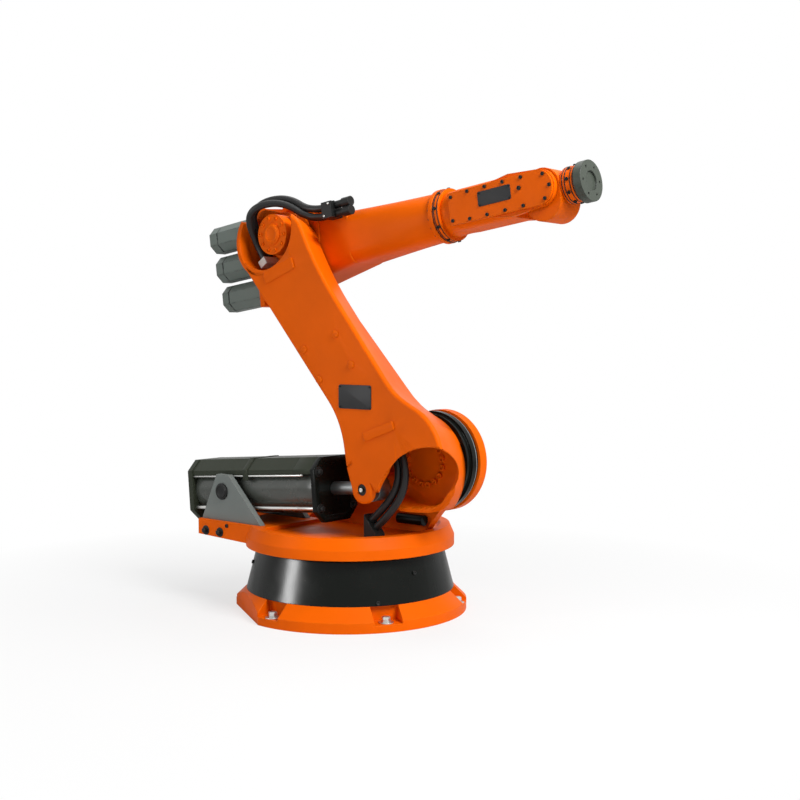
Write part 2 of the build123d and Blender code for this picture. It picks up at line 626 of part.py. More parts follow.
# The head has a round mouth in its right wall and no wall on top, where the hoses come out
mouth_height = LINK_LENGTH + MOUTH_RISE
mouth_circles = [Pos(x, mouth_height) * Circle(MOUTH_RADIUS).edge() for x in (-MOUTH_BACK, MOUTH_FRONT)]
mouth = make_hull(mouth_circles)
link_arm -= slab(mouth, LINK_RIGHT - OVERRUN, LINK_RIGHT + LINK_WALL + OVERRUN)
link_arm += disc_across(0, LINK_LENGTH, LINK_HUB_RADIUS, LINK_LEFT_HIGH - LINK_HUB_DEPTH, LINK_LEFT_HIGH)
above_head = Pos(0, 0, LINK_HEAD_RADIUS) * Box(LINK_HEAD_RADIUS * 4, -LINK_RIGHT * 3, LINK_HEAD_RADIUS * 2)
link_arm -= Pos(0, 0, LINK_LENGTH + LINK_HEAD_TOP) * Rot(0, LINK_HEAD_SLOPE, 0) * above_head
boss_left = LINK_LEFT_HIGH - LINK_HUB_DEPTH
link_arm -= disc_across(0, LINK_LENGTH, BOSS_RADIUS + BOSS_ROOM, LINK_RIGHT - OVERRUN, boss_left)
save("link_arm", on_link(link_arm))

elbow_boss = disc_across(0, LINK_LENGTH, BOSS_RADIUS, boss_left - BOSS_LENGTH, boss_left)
save("elbow_boss", on_link(elbow_boss))

elbow_bearing = disc_across(0, LINK_LENGTH, ELBOW_HUB_RADIUS, LINK_LEFT_HIGH, ARM_RIGHT - RUNNING_GAP)
save("elbow_bearing", on_link(elbow_bearing))

pin_right = disc_across(-PIN_BACK, PIN_ALONG, PIN_RADIUS, LINK_RIGHT + PIN_CLEAR, LINK_RIGHT + LINK_WALL)
pin_left = disc_across(-PIN_BACK, PIN_ALONG, PIN_RADIUS, eye_left, LINK_LEFT_LOW - LINK_WALL)
save("link_pin_ends", on_link(Compound([pin_right, pin_left])))

# Forearm casting: elbow block and tapering tube
elbow_side = outline(
    (-ARM_REAR, -ARM_REAR_FOOT),
    (ARM_KNEE, -ARM_KNEE_DEPTH),
    (ARM_NECK, -ARM_NECK_DEPTH),
    (ARM_NECK, ARM_NECK_TOP),
    (ARM_KNEE, ARM_TOP),
    (-ARM_REAR, ARM_REAR_TOP),
)
elbow_block = slab(elbow_side, -ARM_HALF_WIDTH, ARM_HALF_WIDTH)
keel_edges = [edge for edge in elbow_block.edges() if abs(edge.tangent_at(0).X) > 0.5 and edge.center().Z < 0]
elbow_block = fillet(keel_edges, ARM_KEEL_FILLET)
neck_height = ARM_NECK_TOP + ARM_NECK_DEPTH
neck_centre = (ARM_NECK_TOP - ARM_NECK_DEPTH) / 2
neck_face = Pos(0, neck_centre) * RectangleRounded(ARM_HALF_WIDTH * 2, neck_height, ARM_NECK_FILLET)
tube_face = Pos(0, -ROLL_AXIS_DROP) * Circle(TUBE_RADIUS)
arm_tube = loft([Plane.YZ.offset(ARM_NECK) * neck_face, Plane.YZ.offset(TUBE_END) * tube_face])
arm_casting = elbow_block + arm_tube
save("arm_casting", on_arm(arm_casting))

rear_height = ARM_REAR_TOP + ARM_REAR_FOOT + REAR_PLATE_MARGIN * 2
rear_centre = (ARM_REAR_TOP - ARM_REAR_FOOT) / 2
rear_face = Pos(0, rear_centre) * Rectangle((ARM_HALF_WIDTH - REAR_PLATE_MARGIN) * 2, rear_height)
arm_rear_plate = bar(rear_face, -ARM_REAR - REAR_PLATE_THICKNESS, -ARM_REAR)
save("arm_rear_plate", on_arm(arm_rear_plate))

motor_seat = -ARM_REAR - REAR_PLATE_THICKNESS
for row, length in enumerate(WRIST_MOTOR_LENGTHS):
    name = ("upper", "middle", "lower")[row]
    height = rear_centre + WRIST_MOTOR_PITCH * (1 - row)
    wrist_motor = Pos(motor_seat, 0, height) * Rot(0, 0, 180) * motor(WRIST_MOTOR_SIZE, length)
    save(f"{name}_wrist_motor", on_arm(wrist_motor))

elbow_motor = bar(Circle(ELBOW_HUB_RADIUS), 0, MOTOR_FLANGE)
elbow_motor += Pos(MOTOR_FLANGE, 0, 0) * motor(ELBOW_MOTOR_SIZE, ELBOW_MOTOR_LENGTH)
save("elbow_motor", on_arm(Pos(0, ARM_HALF_WIDTH, 0) * Rot(0, 0, 90) * elbow_motor))

roll_ring = bar(Circle(ROLL_RING_RADIUS), TUBE_END, TUBE_END + ROLL_RING)
save("arm_front_ring", on_roll_axis(roll_ring))

# Wrist: ring, housing with two cheeks, and a bolted cover on each side
ring_start = TUBE_END + ROLL_RING + RUNNING_GAP
ring_end = ring_start + WRIST_RING
wrist_ring = bar(Circle(WRIST_RING_RADIUS), ring_start, ring_end)
save("wrist_ring", on_roll_axis(wrist_ring))

wrist_face = RectangleRounded(WRIST_HALF_WIDTH * 2, WRIST_HALF_HEIGHT * 2, WRIST_HALF_HEIGHT / 2)
wrist_root = Plane.YZ.offset(ring_end) * Circle(WRIST_HALF_WIDTH)
wrist_housing = loft([wrist_root, Plane.YZ.offset(WRIST_BLOCK) * wrist_face])
wrist_housing += bar(wrist_face, WRIST_BLOCK, THROAT)
cheek_face = outline(
    (WRIST_BLOCK, -WRIST_HALF_HEIGHT / 2),
    (THROAT, -WRIST_HALF_HEIGHT),
    (ARM_REACH, -CHEEK_END_RADIUS),
    (ARM_REACH, CHEEK_END_RADIUS),
    (THROAT, WRIST_HALF_HEIGHT),
    (WRIST_BLOCK, WRIST_HALF_HEIGHT / 2),
)
cheek_face += Pos(ARM_REACH, 0) * Circle(CHEEK_END_RADIUS)
for right in (-WRIST_HALF_WIDTH, WRIST_HALF_WIDTH - CHEEK_SHEET):
    wrist_housing += slab(cheek_face, right, right + CHEEK_SHEET)
save("wrist_housing", on_roll_axis(wrist_housing))

cover_face = outline(
    (COVER_START, -COVER_HALF_HEIGHT),
    (ARM_REACH, -COVER_END_RADIUS),
    (ARM_REACH, COVER_END_RADIUS),
    (COVER_START, COVER_HALF_HEIGHT),
)
cover_face += Pos(ARM_REACH, 0) * Circle(COVER_END_RADIUS)
cover_sides = {"right": -WRIST_HALF_WIDTH - COVER_SHEET, "left": WRIST_HALF_WIDTH}
for name, right in cover_sides.items():
    cover = slab(cover_face, right, right + COVER_SHEET)
    save(f"{name}_wrist_cover", on_roll_axis(cover))

# Hand between the cheeks, with a bolted ring behind the tool flange
cheek_inner = WRIST_HALF_WIDTH - CHEEK_SHEET
hand_circles = [Circle(HUB_RADIUS).edge(), (Pos(0, -BULGE_DROP) * Circle(BULGE_RADIUS)).edge()]
hand = slab(make_hull(hand_circles), -HUB_HALF_WIDTH, HUB_HALF_WIDTH)
hand += disc_across(0, 0, HUB_BOSS_RADIUS, -cheek_inner + RUNNING_GAP, cheek_inner - RUNNING_GAP)
ring_back = TOOL_BACK - RUNNING_GAP - NECK_RING
hand += bar(Circle(NECK_RADIUS), 0, ring_back)
save("hand_housing", on_roll_axis(Pos(ARM_REACH, 0, 0) * hand))

neck_ring = bar(Circle(NECK_RING_RADIUS), ring_back, ring_back + NECK_RING)
save("hand_ring", on_roll_axis(Pos(ARM_REACH, 0, 0) * neck_ring))

tool_flange = bar(Circle(TOOL_RADIUS), TOOL_BACK, TOOL_REACH)
tool_flange -= bar(Circle(TOOL_PILOT), TOOL_REACH - TOOL_PILOT_DEPTH, TOOL_REACH)
tool_holes = PolarLocations(TOOL_BOLT_CIRCLE, TOOL_BOLT_COUNT) * Circle(TOOL_BOLT_HOLE)
tool_flange -= bar(Sketch() + tool_holes, TOOL_REACH - TOOL_BOLT_DEPTH, TOOL_REACH)
save("tool_flange", on_roll_axis(Pos(ARM_REACH, 0, 0) * tool_flange))

# Blocks that hold the hoses: on the deck, inside the link's foot and head, and on the forearm
deck_floor = DECK_TOP - DECK_SINK
clamp_turn = radians(DECK_CLAMP_SLOPE)
clamp_reach = CLAMP_LENGTH / 2 * cos(clamp_turn)
clamp_fall = CLAMP_LENGTH / 2 * sin(clamp_turn)
deck_clamp_side = outline(
    (-clamp_reach, 0),
    (clamp_reach, 0),
    (clamp_reach, DECK_CLAMP_HEIGHT - clamp_fall),
    (-clamp_reach, DECK_CLAMP_HEIGHT + clamp_fall),
)
deck_clamp = slab(deck_clamp_side, -CLAMP_WIDTH / 2, CLAMP_WIDTH / 2)
save("deck_hose_clamp", Pos(DECK_CLAMP_X, DECK_CLAMP_Y, deck_floor) * deck_clamp)

# A round connector housing lies against the ear, under the shoulder
connector_seat = Pos(CONNECTOR_RADIUS / 2, 0) * Rectangle(CONNECTOR_RADIUS, CONNECTOR_RADIUS)
connector_face = Circle(CONNECTOR_RADIUS) + connector_seat
connector = bar(connector_face, -CONNECTOR_LENGTH / 2, CONNECTOR_LENGTH / 2)
save("ear_connector", Pos(CONNECTOR_X, EAR_INNER - CONNECTOR_RADIUS, CONNECTOR_HEIGHT) * connector)

link_wall_face = LINK_LEFT_LOW - LINK_WALL
link_clamp_y = link_wall_face - LINK_CLAMP_DEPTH / 2
link_clamp_place = Pos(LINK_CLAMP_FRONT, link_clamp_y, LINK_CLAMP_ALONG + CLAMP_HEIGHT / 2)
save("link_hose_clamp", on_link(link_clamp_place * Box(CLAMP_LENGTH, LINK_CLAMP_DEPTH, CLAMP_HEIGHT)))

head_wall_face = LINK_LEFT_HIGH - LINK_WALL
socket_place = Pos(-SOCKET_BACK, head_wall_face - SOCKET_DEPTH / 2, LINK_LENGTH - SOCKET_DROP)
save("head_hose_socket", on_link(socket_place * Box(SOCKET_WIDTH, SOCKET_DEPTH, SOCKET_HEIGHT)))

arm_clamp_place = Pos(ARM_CLAMP_ALONG + CLAMP_WIDTH / 2, ARM_RIGHT - ARM_CLAMP_DEPTH / 2, ARM_CLAMP_RISE)
save("arm_hose_clamp", on_arm(arm_clamp_place * Box(CLAMP_WIDTH, ARM_CLAMP_DEPTH, ARM_CLAMP_HEIGHT)))

stubs = []
stub_start = ARM_CLAMP_ALONG + CLAMP_WIDTH
stub_y = ARM_RIGHT - ARM_CLAMP_DEPTH / 2
for height in (ARM_CLAMP_RISE - HOSE_PITCH / 2, ARM_CLAMP_RISE + HOSE_PITCH / 2):
    stub = bar(Circle(HOSE_RADIUS), stub_start, stub_start + STUB_LENGTH)
    stub += bar(Circle(HOSE_RADIUS + STUB_CAP), stub_start + STUB_LENGTH / 2, stub_start + STUB_LENGTH)
    stubs.append(Pos(0, stub_y, height) * stub)
save("arm_hose_stubs", on_arm(Compound(stubs)))


def hose(points):
    """A hose through the points: straight runs, and at each point an arc as large as its two runs allow."""
    path_points = [Vector(*point) for point in points]
    radii = []
    for before, here, after in zip(path_points, path_points[1:], path_points[2:]):
        turn = radians((here - before).get_angle(after - here))
        shorter = min((here - before).length, (after - here).length)
        radii.append(HOSE_RUN_SHARE * shorter / tan(turn / 2))
    print("hose radii", [round(radius) for radius in radii])
    path = FilletPolyline(*path_points, radius=radii)
    start = Plane(origin=path @ 0, z_dir=path % 0)
    return sweep(start * Circle(HOSE_RADIUS), path)


def link_point(front, across, along):
    """A point of the upright link, where it lies as the link leans."""
    return on_link(Pos(front, across, along)).position


def arm_point(along, across, rise):
    """A point of the level forearm, where it lies as the forearm points."""
    return on_arm(Pos(along, across, rise)).position


# Two hoses rise from the deck into the link's foot. Their ends follow the two blocks, and the bend is free.
lower_hoses = []
for side in (-1, 1):
    shift = side * HOSE_PITCH / 2
    foot_x = DECK_CLAMP_X + shift * cos(clamp_turn)
    foot_z = deck_floor + DECK_CLAMP_HEIGHT - shift * sin(clamp_turn)
    end_front = LINK_CLAMP_FRONT + shift
    hose_y = link_wall_face - LINK_CLAMP_DEPTH + CLAMP_WIDTH / 2
    lower_hoses.append(
        hose(
            [
                (foot_x, DECK_CLAMP_Y, foot_z),
                (foot_x + 105 * sin(clamp_turn), DECK_CLAMP_Y, foot_z + 105 * cos(clamp_turn)),
                (SHOULDER_OFFSET + 5 + shift, hose_y, SHOULDER_HEIGHT - 85 - shift / 3),
                link_point(end_front, hose_y, LINK_CLAMP_ALONG - 130),
                link_point(end_front, hose_y, LINK_CLAMP_ALONG),
            ]
        )
    )
save("lower_hoses", Compound(lower_hoses))

# Two hoses loop from the link's head over the elbow to the block on the forearm
socket_top = LINK_LENGTH - SOCKET_DROP + SOCKET_HEIGHT / 2
socket_y = head_wall_face - SOCKET_DEPTH / 2
upper_hoses = []
for side in (-1, 1):
    hose_y = socket_y + side * HOSE_PITCH / 2
    lift = side * HOSE_PITCH / 2
    spread = 1 + side * LOOP_SPREAD_SHARE
    upper_hoses.append(
        hose(
            [
                link_point(-SOCKET_BACK, hose_y, socket_top),
                link_point(-SOCKET_BACK, hose_y, socket_top + 84),
                (ELBOW_X - 142 * spread, hose_y - 88, ELBOW_HEIGHT + 84 * spread),
                (ELBOW_X - 62 * spread, hose_y - 88, ELBOW_HEIGHT + 146 * spread),
                (ELBOW_X + 44 * spread, (hose_y - 88 + stub_y) / 2, ELBOW_HEIGHT + 160 * spread),
                arm_point(ARM_CLAMP_ALONG - 100, stub_y, ARM_CLAMP_RISE + lift),
                arm_point(ARM_CLAMP_ALONG, stub_y, ARM_CLAMP_RISE + lift),
            ]
        )
    )
save("upper_hoses", Compound(upper_hoses))
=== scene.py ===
from math import cos, pi, radians, sin

import bpy
from mathutils import Matrix, Vector


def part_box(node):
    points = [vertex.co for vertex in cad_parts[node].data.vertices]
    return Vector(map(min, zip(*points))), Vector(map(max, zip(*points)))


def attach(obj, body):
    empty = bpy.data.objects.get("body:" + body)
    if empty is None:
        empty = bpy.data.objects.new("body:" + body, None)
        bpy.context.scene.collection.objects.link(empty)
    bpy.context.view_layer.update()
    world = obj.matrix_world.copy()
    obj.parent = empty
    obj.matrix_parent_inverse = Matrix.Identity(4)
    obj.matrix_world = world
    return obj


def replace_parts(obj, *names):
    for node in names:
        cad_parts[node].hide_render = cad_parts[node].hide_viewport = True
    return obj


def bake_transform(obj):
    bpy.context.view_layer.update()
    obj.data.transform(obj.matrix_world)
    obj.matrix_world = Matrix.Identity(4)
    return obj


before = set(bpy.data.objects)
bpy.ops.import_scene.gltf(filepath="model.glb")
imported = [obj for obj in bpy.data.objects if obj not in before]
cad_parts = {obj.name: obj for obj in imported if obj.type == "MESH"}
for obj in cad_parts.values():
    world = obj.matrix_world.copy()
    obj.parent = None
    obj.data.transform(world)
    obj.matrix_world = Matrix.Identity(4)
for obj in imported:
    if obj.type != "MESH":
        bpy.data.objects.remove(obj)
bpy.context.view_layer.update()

# Floor flange: a thick iron casting with six pockets in its rim, sprayed orange and rubbed pale along its edges.
# A zinc-plated hexagon bolt with its washer stands in each pocket and holds the robot to the ground.
def paint_group():
    """Sprayed paint on a casting: slow changes of tone, fine orange peel, and edges rounded and given their own colour:
    rubbed paler paint on most finishes, painted shade on the motors' chamfers and corners.
    """
    group = bpy.data.node_groups.new("sprayed_paint", "ShaderNodeTree")
    face = group.interface
    face.new_socket("Paint", in_out="INPUT", socket_type="NodeSocketColor")
    face.new_socket("Wear and shade colour", in_out="INPUT", socket_type="NodeSocketColor")
    face.new_socket("Edge radius", in_out="INPUT", socket_type="NodeSocketFloat").default_value = 0.004
    face.new_socket("Edge wear and shade", in_out="INPUT", socket_type="NodeSocketFloat").default_value = 0.5
    face.new_socket("Gloss", in_out="INPUT", socket_type="NodeSocketFloat").default_value = 0.3
    face.new_socket("Peel", in_out="INPUT", socket_type="NodeSocketFloat").default_value = 0.08
    face.new_socket("Colour", in_out="OUTPUT", socket_type="NodeSocketColor")
    face.new_socket("Roughness", in_out="OUTPUT", socket_type="NodeSocketFloat")
    face.new_socket("Normal", in_out="OUTPUT", socket_type="NodeSocketVector")
    nodes, links = group.nodes, group.links
    given = nodes.new("NodeGroupInput")
    made = nodes.new("NodeGroupOutput")
    where = nodes.new("ShaderNodeTexCoord")

    tone = nodes.new("ShaderNodeTexNoise")
    tone.inputs["Scale"].default_value = 2.6
    tone.inputs["Detail"].default_value = 4.0
    links.new(where.outputs["Object"], tone.inputs["Vector"])
    tone_range = nodes.new("ShaderNodeMapRange")
    tone_range.inputs["From Min"].default_value = 0.3
    tone_range.inputs["From Max"].default_value = 0.7
    tone_range.inputs["To Min"].default_value = 0.88
    tone_range.inputs["To Max"].default_value = 1.06
    links.new(tone.outputs["Fac"], tone_range.inputs["Value"])
    shaded = nodes.new("ShaderNodeVectorMath")
    shaded.operation = "SCALE"
    links.new(given.outputs["Paint"], shaded.inputs[0])
    links.new(tone_range.outputs["Result"], shaded.inputs["Scale"])

    # Edge mask: on most finishes it lays rubbed, paler paint along the edges; on the motors' finish it lays near-black
    # painted shade on the chamfers and corners.
    rounded = nodes.new("ShaderNodeBevel")
    rounded.samples = 4
    links.new(given.outputs["Edge radius"], rounded.inputs["Radius"])
    surface = nodes.new("ShaderNodeNewGeometry")
    along = nodes.new("ShaderNodeVectorMath")
    along.operation = "DOT_PRODUCT"
    links.new(rounded.outputs["Normal"], along.inputs[0])
    links.new(surface.outputs["Normal"], along.inputs[1])
    edge = nodes.new("ShaderNodeMapRange")
    edge.inputs["From Min"].default_value = 0.985
    edge.inputs["From Max"].default_value = 0.8
    links.new(along.outputs["Value"], edge.inputs["Value"])
    chips = nodes.new("ShaderNodeTexNoise")
    chips.inputs["Scale"].default_value = 38.0
    chips.inputs["Detail"].default_value = 6.0
    links.new(where.outputs["Object"], chips.inputs["Vector"])
    chip_range = nodes.new("ShaderNodeMapRange")
    chip_range.inputs["From Min"].default_value = 0.4
    chip_range.inputs["From Max"].default_value = 0.58
    links.new(chips.outputs["Fac"], chip_range.inputs["Value"])
    wear_and_shade_mask = nodes.new("ShaderNodeMath")
    wear_and_shade_mask.operation = "MULTIPLY"
    links.new(edge.outputs["Result"], wear_and_shade_mask.inputs[0])
    links.new(chip_range.outputs["Result"], wear_and_shade_mask.inputs[1])
    wear_and_shade_strength = nodes.new("ShaderNodeMath")
    wear_and_shade_strength.operation = "MULTIPLY"
    links.new(wear_and_shade_mask.outputs["Value"], wear_and_shade_strength.inputs[0])
    links.new(given.outputs["Edge wear and shade"], wear_and_shade_strength.inputs[1])
    mixed = nodes.new("ShaderNodeMix")
    mixed.data_type = "RGBA"
    links.new(wear_and_shade_strength.outputs["Value"], mixed.inputs["Factor"])
    links.new(shaded.outputs["Vector"], mixed.inputs["A"])
    links.new(given.outputs["Wear and shade colour"], mixed.inputs["B"])
    links.new(mixed.outputs["Result"], made.inputs["Colour"])

    smear = nodes.new("ShaderNodeTexNoise")
    smear.inputs["Scale"].default_value = 9.0
    smear.inputs["Detail"].default_value = 5.0
    links.new(where.outputs["Object"], smear.inputs["Vector"])
    dull = nodes.new("ShaderNodeMath")
    dull.operation = "MULTIPLY_ADD"
    dull.inputs[1].default_value = 0.22
    links.new(smear.outputs["Fac"], dull.inputs[0])
    links.new(given.outputs["Gloss"], dull.inputs[2])
    links.new(dull.outputs["Value"], made.inputs["Roughness"])

    peel = nodes.new("ShaderNodeTexNoise")
    peel.inputs["Scale"].default_value = 240.0
    peel.inputs["Detail"].default_value = 2.0
    links.new(where.outputs["Object"], peel.inputs["Vector"])
    bump = nodes.new("ShaderNodeBump")
    bump.inputs["Distance"].default_value = 0.001
    links.new(given.outputs["Peel"], bump.inputs["Strength"])
    links.new(peel.outputs["Fac"], bump.inputs["Height"])
    links.new(rounded.outputs["Normal"], bump.inputs["Normal"])
    links.new(bump.outputs["Normal"], made.inputs["Normal"])
    return group


sprayed_paint = paint_group()


def paint(name, colour, wear_and_shade_colour, edge_radius, edge_wear_and_shade, gloss, peel, shine, metal=0.0):
    """A finish from the shared sprayed paint, with its own colours, edges and shine."""
    finish = bpy.data.materials.new(name)
    finish.use_nodes = True
    nodes, links = finish.node_tree.nodes, finish.node_tree.links
    shader = nodes["Principled BSDF"]
    shader.inputs["Specular IOR Level"].default_value = shine
    shader.inputs["Metallic"].default_value = metal
    spray = nodes.new("ShaderNodeGroup")
    spray.node_tree = sprayed_paint
    spray.inputs["Paint"].default_value = (*colour, 1)
    spray.inputs["Wear and shade colour"].default_value = (*wear_and_shade_colour, 1)
    spray.inputs["Edge radius"].default_value = edge_radius
    spray.inputs["Edge wear and shade"].default_value = edge_wear_and_shade
    spray.inputs["Gloss"].default_value = gloss
    spray.inputs["Peel"].default_value = peel
    links.new(spray.outputs["Colour"], shader.inputs["Base Color"])
    links.new(spray.outputs["Roughness"], shader.inputs["Roughness"])
    links.new(spray.outputs["Normal"], shader.inputs["Normal"])
    return finish


def dress(piece, finish):
    """Gives a piece its one finish."""
    piece.data.materials.clear()
    piece.data.materials.append(finish)


def coat_nodes(finish, *names):
    """Gives CAD nodes their finish."""
    for name in names:
        dress(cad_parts[name], finish)


def take(piece):
    """Leaves one piece selected and active."""
    bpy.ops.object.select_all(action="DESELECT")
    piece.select_set(True)
    bpy.context.view_layer.objects.active = piece


def pick(piece, kind, test):
    """Opens a piece for editing with only the faces or edges chosen whose corners pass a test."""
    take(piece)
    bpy.ops.object.mode_set(mode="EDIT")
    bpy.ops.mesh.select_mode(type=kind)
    bpy.ops.mesh.select_all(action="DESELECT")
    bpy.ops.object.mode_set(mode="OBJECT")
    mesh = piece.data
    for part in mesh.polygons if kind == "FACE" else mesh.edges:
        part.select = test([mesh.vertices[corner].co for corner in part.vertices])
    bpy.ops.object.mode_set(mode="EDIT")


def cylinder(radius, height, sides, seat=0.0):
    """A cylinder standing on its seat, the start of a turned piece."""
    bpy.ops.object.select_all(action="DESELECT")
    bpy.ops.mesh.primitive_cylinder_add(vertices=sides, radius=radius, depth=height)
    piece = bpy.context.object
    piece.data.transform(Matrix.Translation((0, 0, seat + height / 2)))
    return piece


def sink_top(piece, top, margin, depth):
    """Insets the top face and pushes it down, or up where the depth is below zero."""
    pick(piece, "FACE", lambda corners: all(corner.z > top - 1e-6 for corner in corners))
    bpy.ops.mesh.inset(thickness=margin)
    bpy.ops.mesh.extrude_region_move(TRANSFORM_OT_translate={"value": (0, 0, -depth)})
    bpy.ops.object.mode_set(mode="OBJECT")


def ease(piece, width):
    """Breaks the sharp edges of a piece and shades it smooth between them."""
    take(piece)
    rim = piece.modifiers.new("rim", "BEVEL")
    rim.width = width
    rim.segments = 2
    rim.angle_limit = radians(40)
    bpy.ops.object.modifier_apply(modifier="rim")
    bpy.ops.object.shade_smooth_by_angle(angle=radians(35))
    return piece


def joined(pieces):
    """Several pieces made one, under the first one's name."""
    take(pieces[0])
    for piece in pieces:
        piece.select_set(True)
    if len(pieces) > 1:
        bpy.ops.object.join()
    return pieces[0]


def hex_bolt(across, height):
    """A hexagon bolt head with a raised crown on its washer, standing on its seat."""
    washer_radius, washer_height = across * 0.95, across * 0.14
    corner_radius = across * 0.577
    crown_margin, crown_rise = across * 0.1, across * 0.05
    washer = cylinder(radius=washer_radius, height=washer_height, sides=32)
    head = cylinder(radius=corner_radius, height=height, sides=6, seat=washer_height)
    sink_top(head, washer_height + height, margin=crown_margin, depth=-crown_rise)
    return joined([ease(head, width=across * 0.03), ease(washer, width=across * 0.04)])


def facing(place, way):
    """The place of a piece whose upright turns to the given way."""
    return Matrix.Translation(place) @ Vector(way).to_track_quat("Z", "Y").to_matrix().to_4x4()


def set_out(pattern, name, places, finish, body, last=False):
    """Copies of a pattern at their places, made one piece that rides on a body; the last use takes the pattern away."""
    copies = []
    for place in places:
        copy = pattern.copy()
        copy.data = pattern.data.copy()
        copy.data.transform(place)
        bpy.context.scene.collection.objects.link(copy)
        copies.append(copy)
    row = joined(copies)
    row.name = name
    dress(row, finish)
    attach(row, body)
    if last:
        bpy.data.objects.remove(pattern)
    return row


orange = paint("orange_paint", colour=(0.76, 0.11, 0.0004), wear_and_shade_colour=(0.9, 0.22, 0.012), edge_radius=0.006,
               edge_wear_and_shade=0.6, gloss=0.3, peel=0.05, shine=0.05)
coat_nodes(orange, "base_flange")
zinc = paint("zinc_steel", colour=(0.62, 0.62, 0.6), wear_and_shade_colour=(0.8, 0.8, 0.78), edge_radius=0.001,
             edge_wear_and_shade=0.3, gloss=0.26, peel=0.02, shine=0.5, metal=1.0)
bolt_circle, pocket_floor = 0.508, 0.034
pocket_turns = [radians(30 + 60 * step) for step in range(6)]
ground_bolt = hex_bolt(across=0.036, height=0.022)
pocket_places = [facing((bolt_circle * cos(a), bolt_circle * sin(a), pocket_floor), (0, 0, 1)) for a in pocket_turns]
set_out(ground_bolt, "ground_bolts", pocket_places, zinc, "base", last=True)

# Cone of the base: a turned iron casting under glossy black powder coat, seated on the flange.
# Blanking screws close its oil and cable openings.
cone_foot, cone_foot_radius, cone_draw_in = 0.104, 0.488, 0.255
flank_out, flank_up = 0.969, 0.247
upper_openings = (0.226, (-9.5, 110.5, 230.5))
lower_openings = (0.116, (-33.4, 86.6, 206.6))
black = paint("black_powder_coat", colour=(0.0035, 0.0045, 0.0035), wear_and_shade_colour=(0.03, 0.03, 0.028), edge_radius=0.004,
              edge_wear_and_shade=0.3, gloss=0.14, peel=0.06, shine=0.12)
coat_nodes(black, "base_cone")
dark_steel = paint("blackened_steel", colour=(0.008, 0.0085, 0.008), wear_and_shade_colour=(0.08, 0.08, 0.08), edge_radius=0.002,
                   edge_wear_and_shade=0.5, gloss=0.3, peel=0.05, shine=0.2)


def cap_screw(radius, height):
    """A socket cap screw head standing on its seat."""
    rim_width, socket_depth = radius * 0.42, height * 0.55
    head = cylinder(radius=radius, height=height, sides=24)
    sink_top(head, height, margin=rim_width, depth=socket_depth)
    return ease(head, width=radius * 0.1)


def on_cone(turn, height):
    """A place on the cone's flank, square to it."""
    radius = cone_foot_radius - (height - cone_foot) * cone_draw_in
    way = (cos(turn) * flank_out, sin(turn) * flank_out, flank_up)
    return facing((radius * cos(turn), radius * sin(turn), height), way)


screw_12 = cap_screw(radius=0.009, height=0.007)
cone_places = [on_cone(radians(turn), height) for height, turns in (upper_openings, lower_openings) for turn in turns]
set_out(screw_12, "cone_screws", cone_places, dark_steel, "base")

# Slewing bearing: a ground and blackened steel ring that carries the carousel on the cone.
# Only its edge shows, in the gap under the deck.
coat_nodes(dark_steel, "slew_bearing")

# Carousel: one orange iron casting of dished deck, shoulder ear and counterbalance shelf.
# Screws on the deck and shelf hold what stands on it, and a plugged cable gland sits low on the ear.
coat_nodes(orange, "carousel_casting")
coat_nodes(black, "ear_connector")
deck_circle, deck_top = 0.42, 0.3823
deck_turns = [radians(turn) for turn in range(-100, 30, 13)]
shelf_side, shelf_screw_height, shelf_bolt_height = -0.385, 0.383, 0.348
deck_places = [facing((deck_circle * cos(a), deck_circle * sin(a), deck_top), (0, 0, 1)) for a in deck_turns]
shelf_places = [facing((x, shelf_side, shelf_screw_height), (0, -1, 0)) for x in (-0.435, -0.225)]
set_out(screw_12, "deck_screws", deck_places + shelf_places, dark_steel, "carousel")
shelf_bolt = hex_bolt(across=0.024, height=0.014)
bolt_places = [facing((x, shelf_side, shelf_bolt_height), (0, -1, 0)) for x in (-0.585, -0.485)]
set_out(shelf_bolt, "shelf_bolts", bolt_places, dark_steel, "carousel", last=True)

# Shoulder gear: a black cast housing between link and ear, with the ground rim of its bearing bare.
# The bare rim is a separate steel ring pressed on the housing.
coat_nodes(black, "shoulder_gear")
satin_steel = paint("satin_steel", colour=(0.3, 0.31, 0.31), wear_and_shade_colour=(0.5, 0.5, 0.5), edge_radius=0.002,
                    edge_wear_and_shade=0.4, gloss=0.3, peel=0.03, shine=0.5, metal=1.0)
shoulder_x, shoulder_height = 0.480, 0.720
gear_rim_seat = 0.0445


def band(radius, wall, depth, sides=96):
    """A plain ring standing on its seat: an open tube given its wall and eased."""
    bpy.ops.object.select_all(action="DESELECT")
    bpy.ops.mesh.primitive_cylinder_add(vertices=sides, radius=radius, depth=depth, end_fill_type="NOTHING")
    ring = bpy.context.object
    ring.data.transform(Matrix.Translation((0, 0, depth / 2)))
    sheet = ring.modifiers.new("wall", "SOLIDIFY")
    sheet.thickness = wall
    sheet.offset = 1.0
    take(ring)
    bpy.ops.object.modifier_apply(modifier="wall")
    return ease(ring, width=wall * 0.25)


gear_ring = band(radius=0.2142, wall=0.008, depth=0.009)
set_out(gear_ring, "gear_rim", [facing((shoulder_x, gear_rim_seat, shoulder_height), (0, 1, 0))],
        satin_steel, "carousel", last=True)

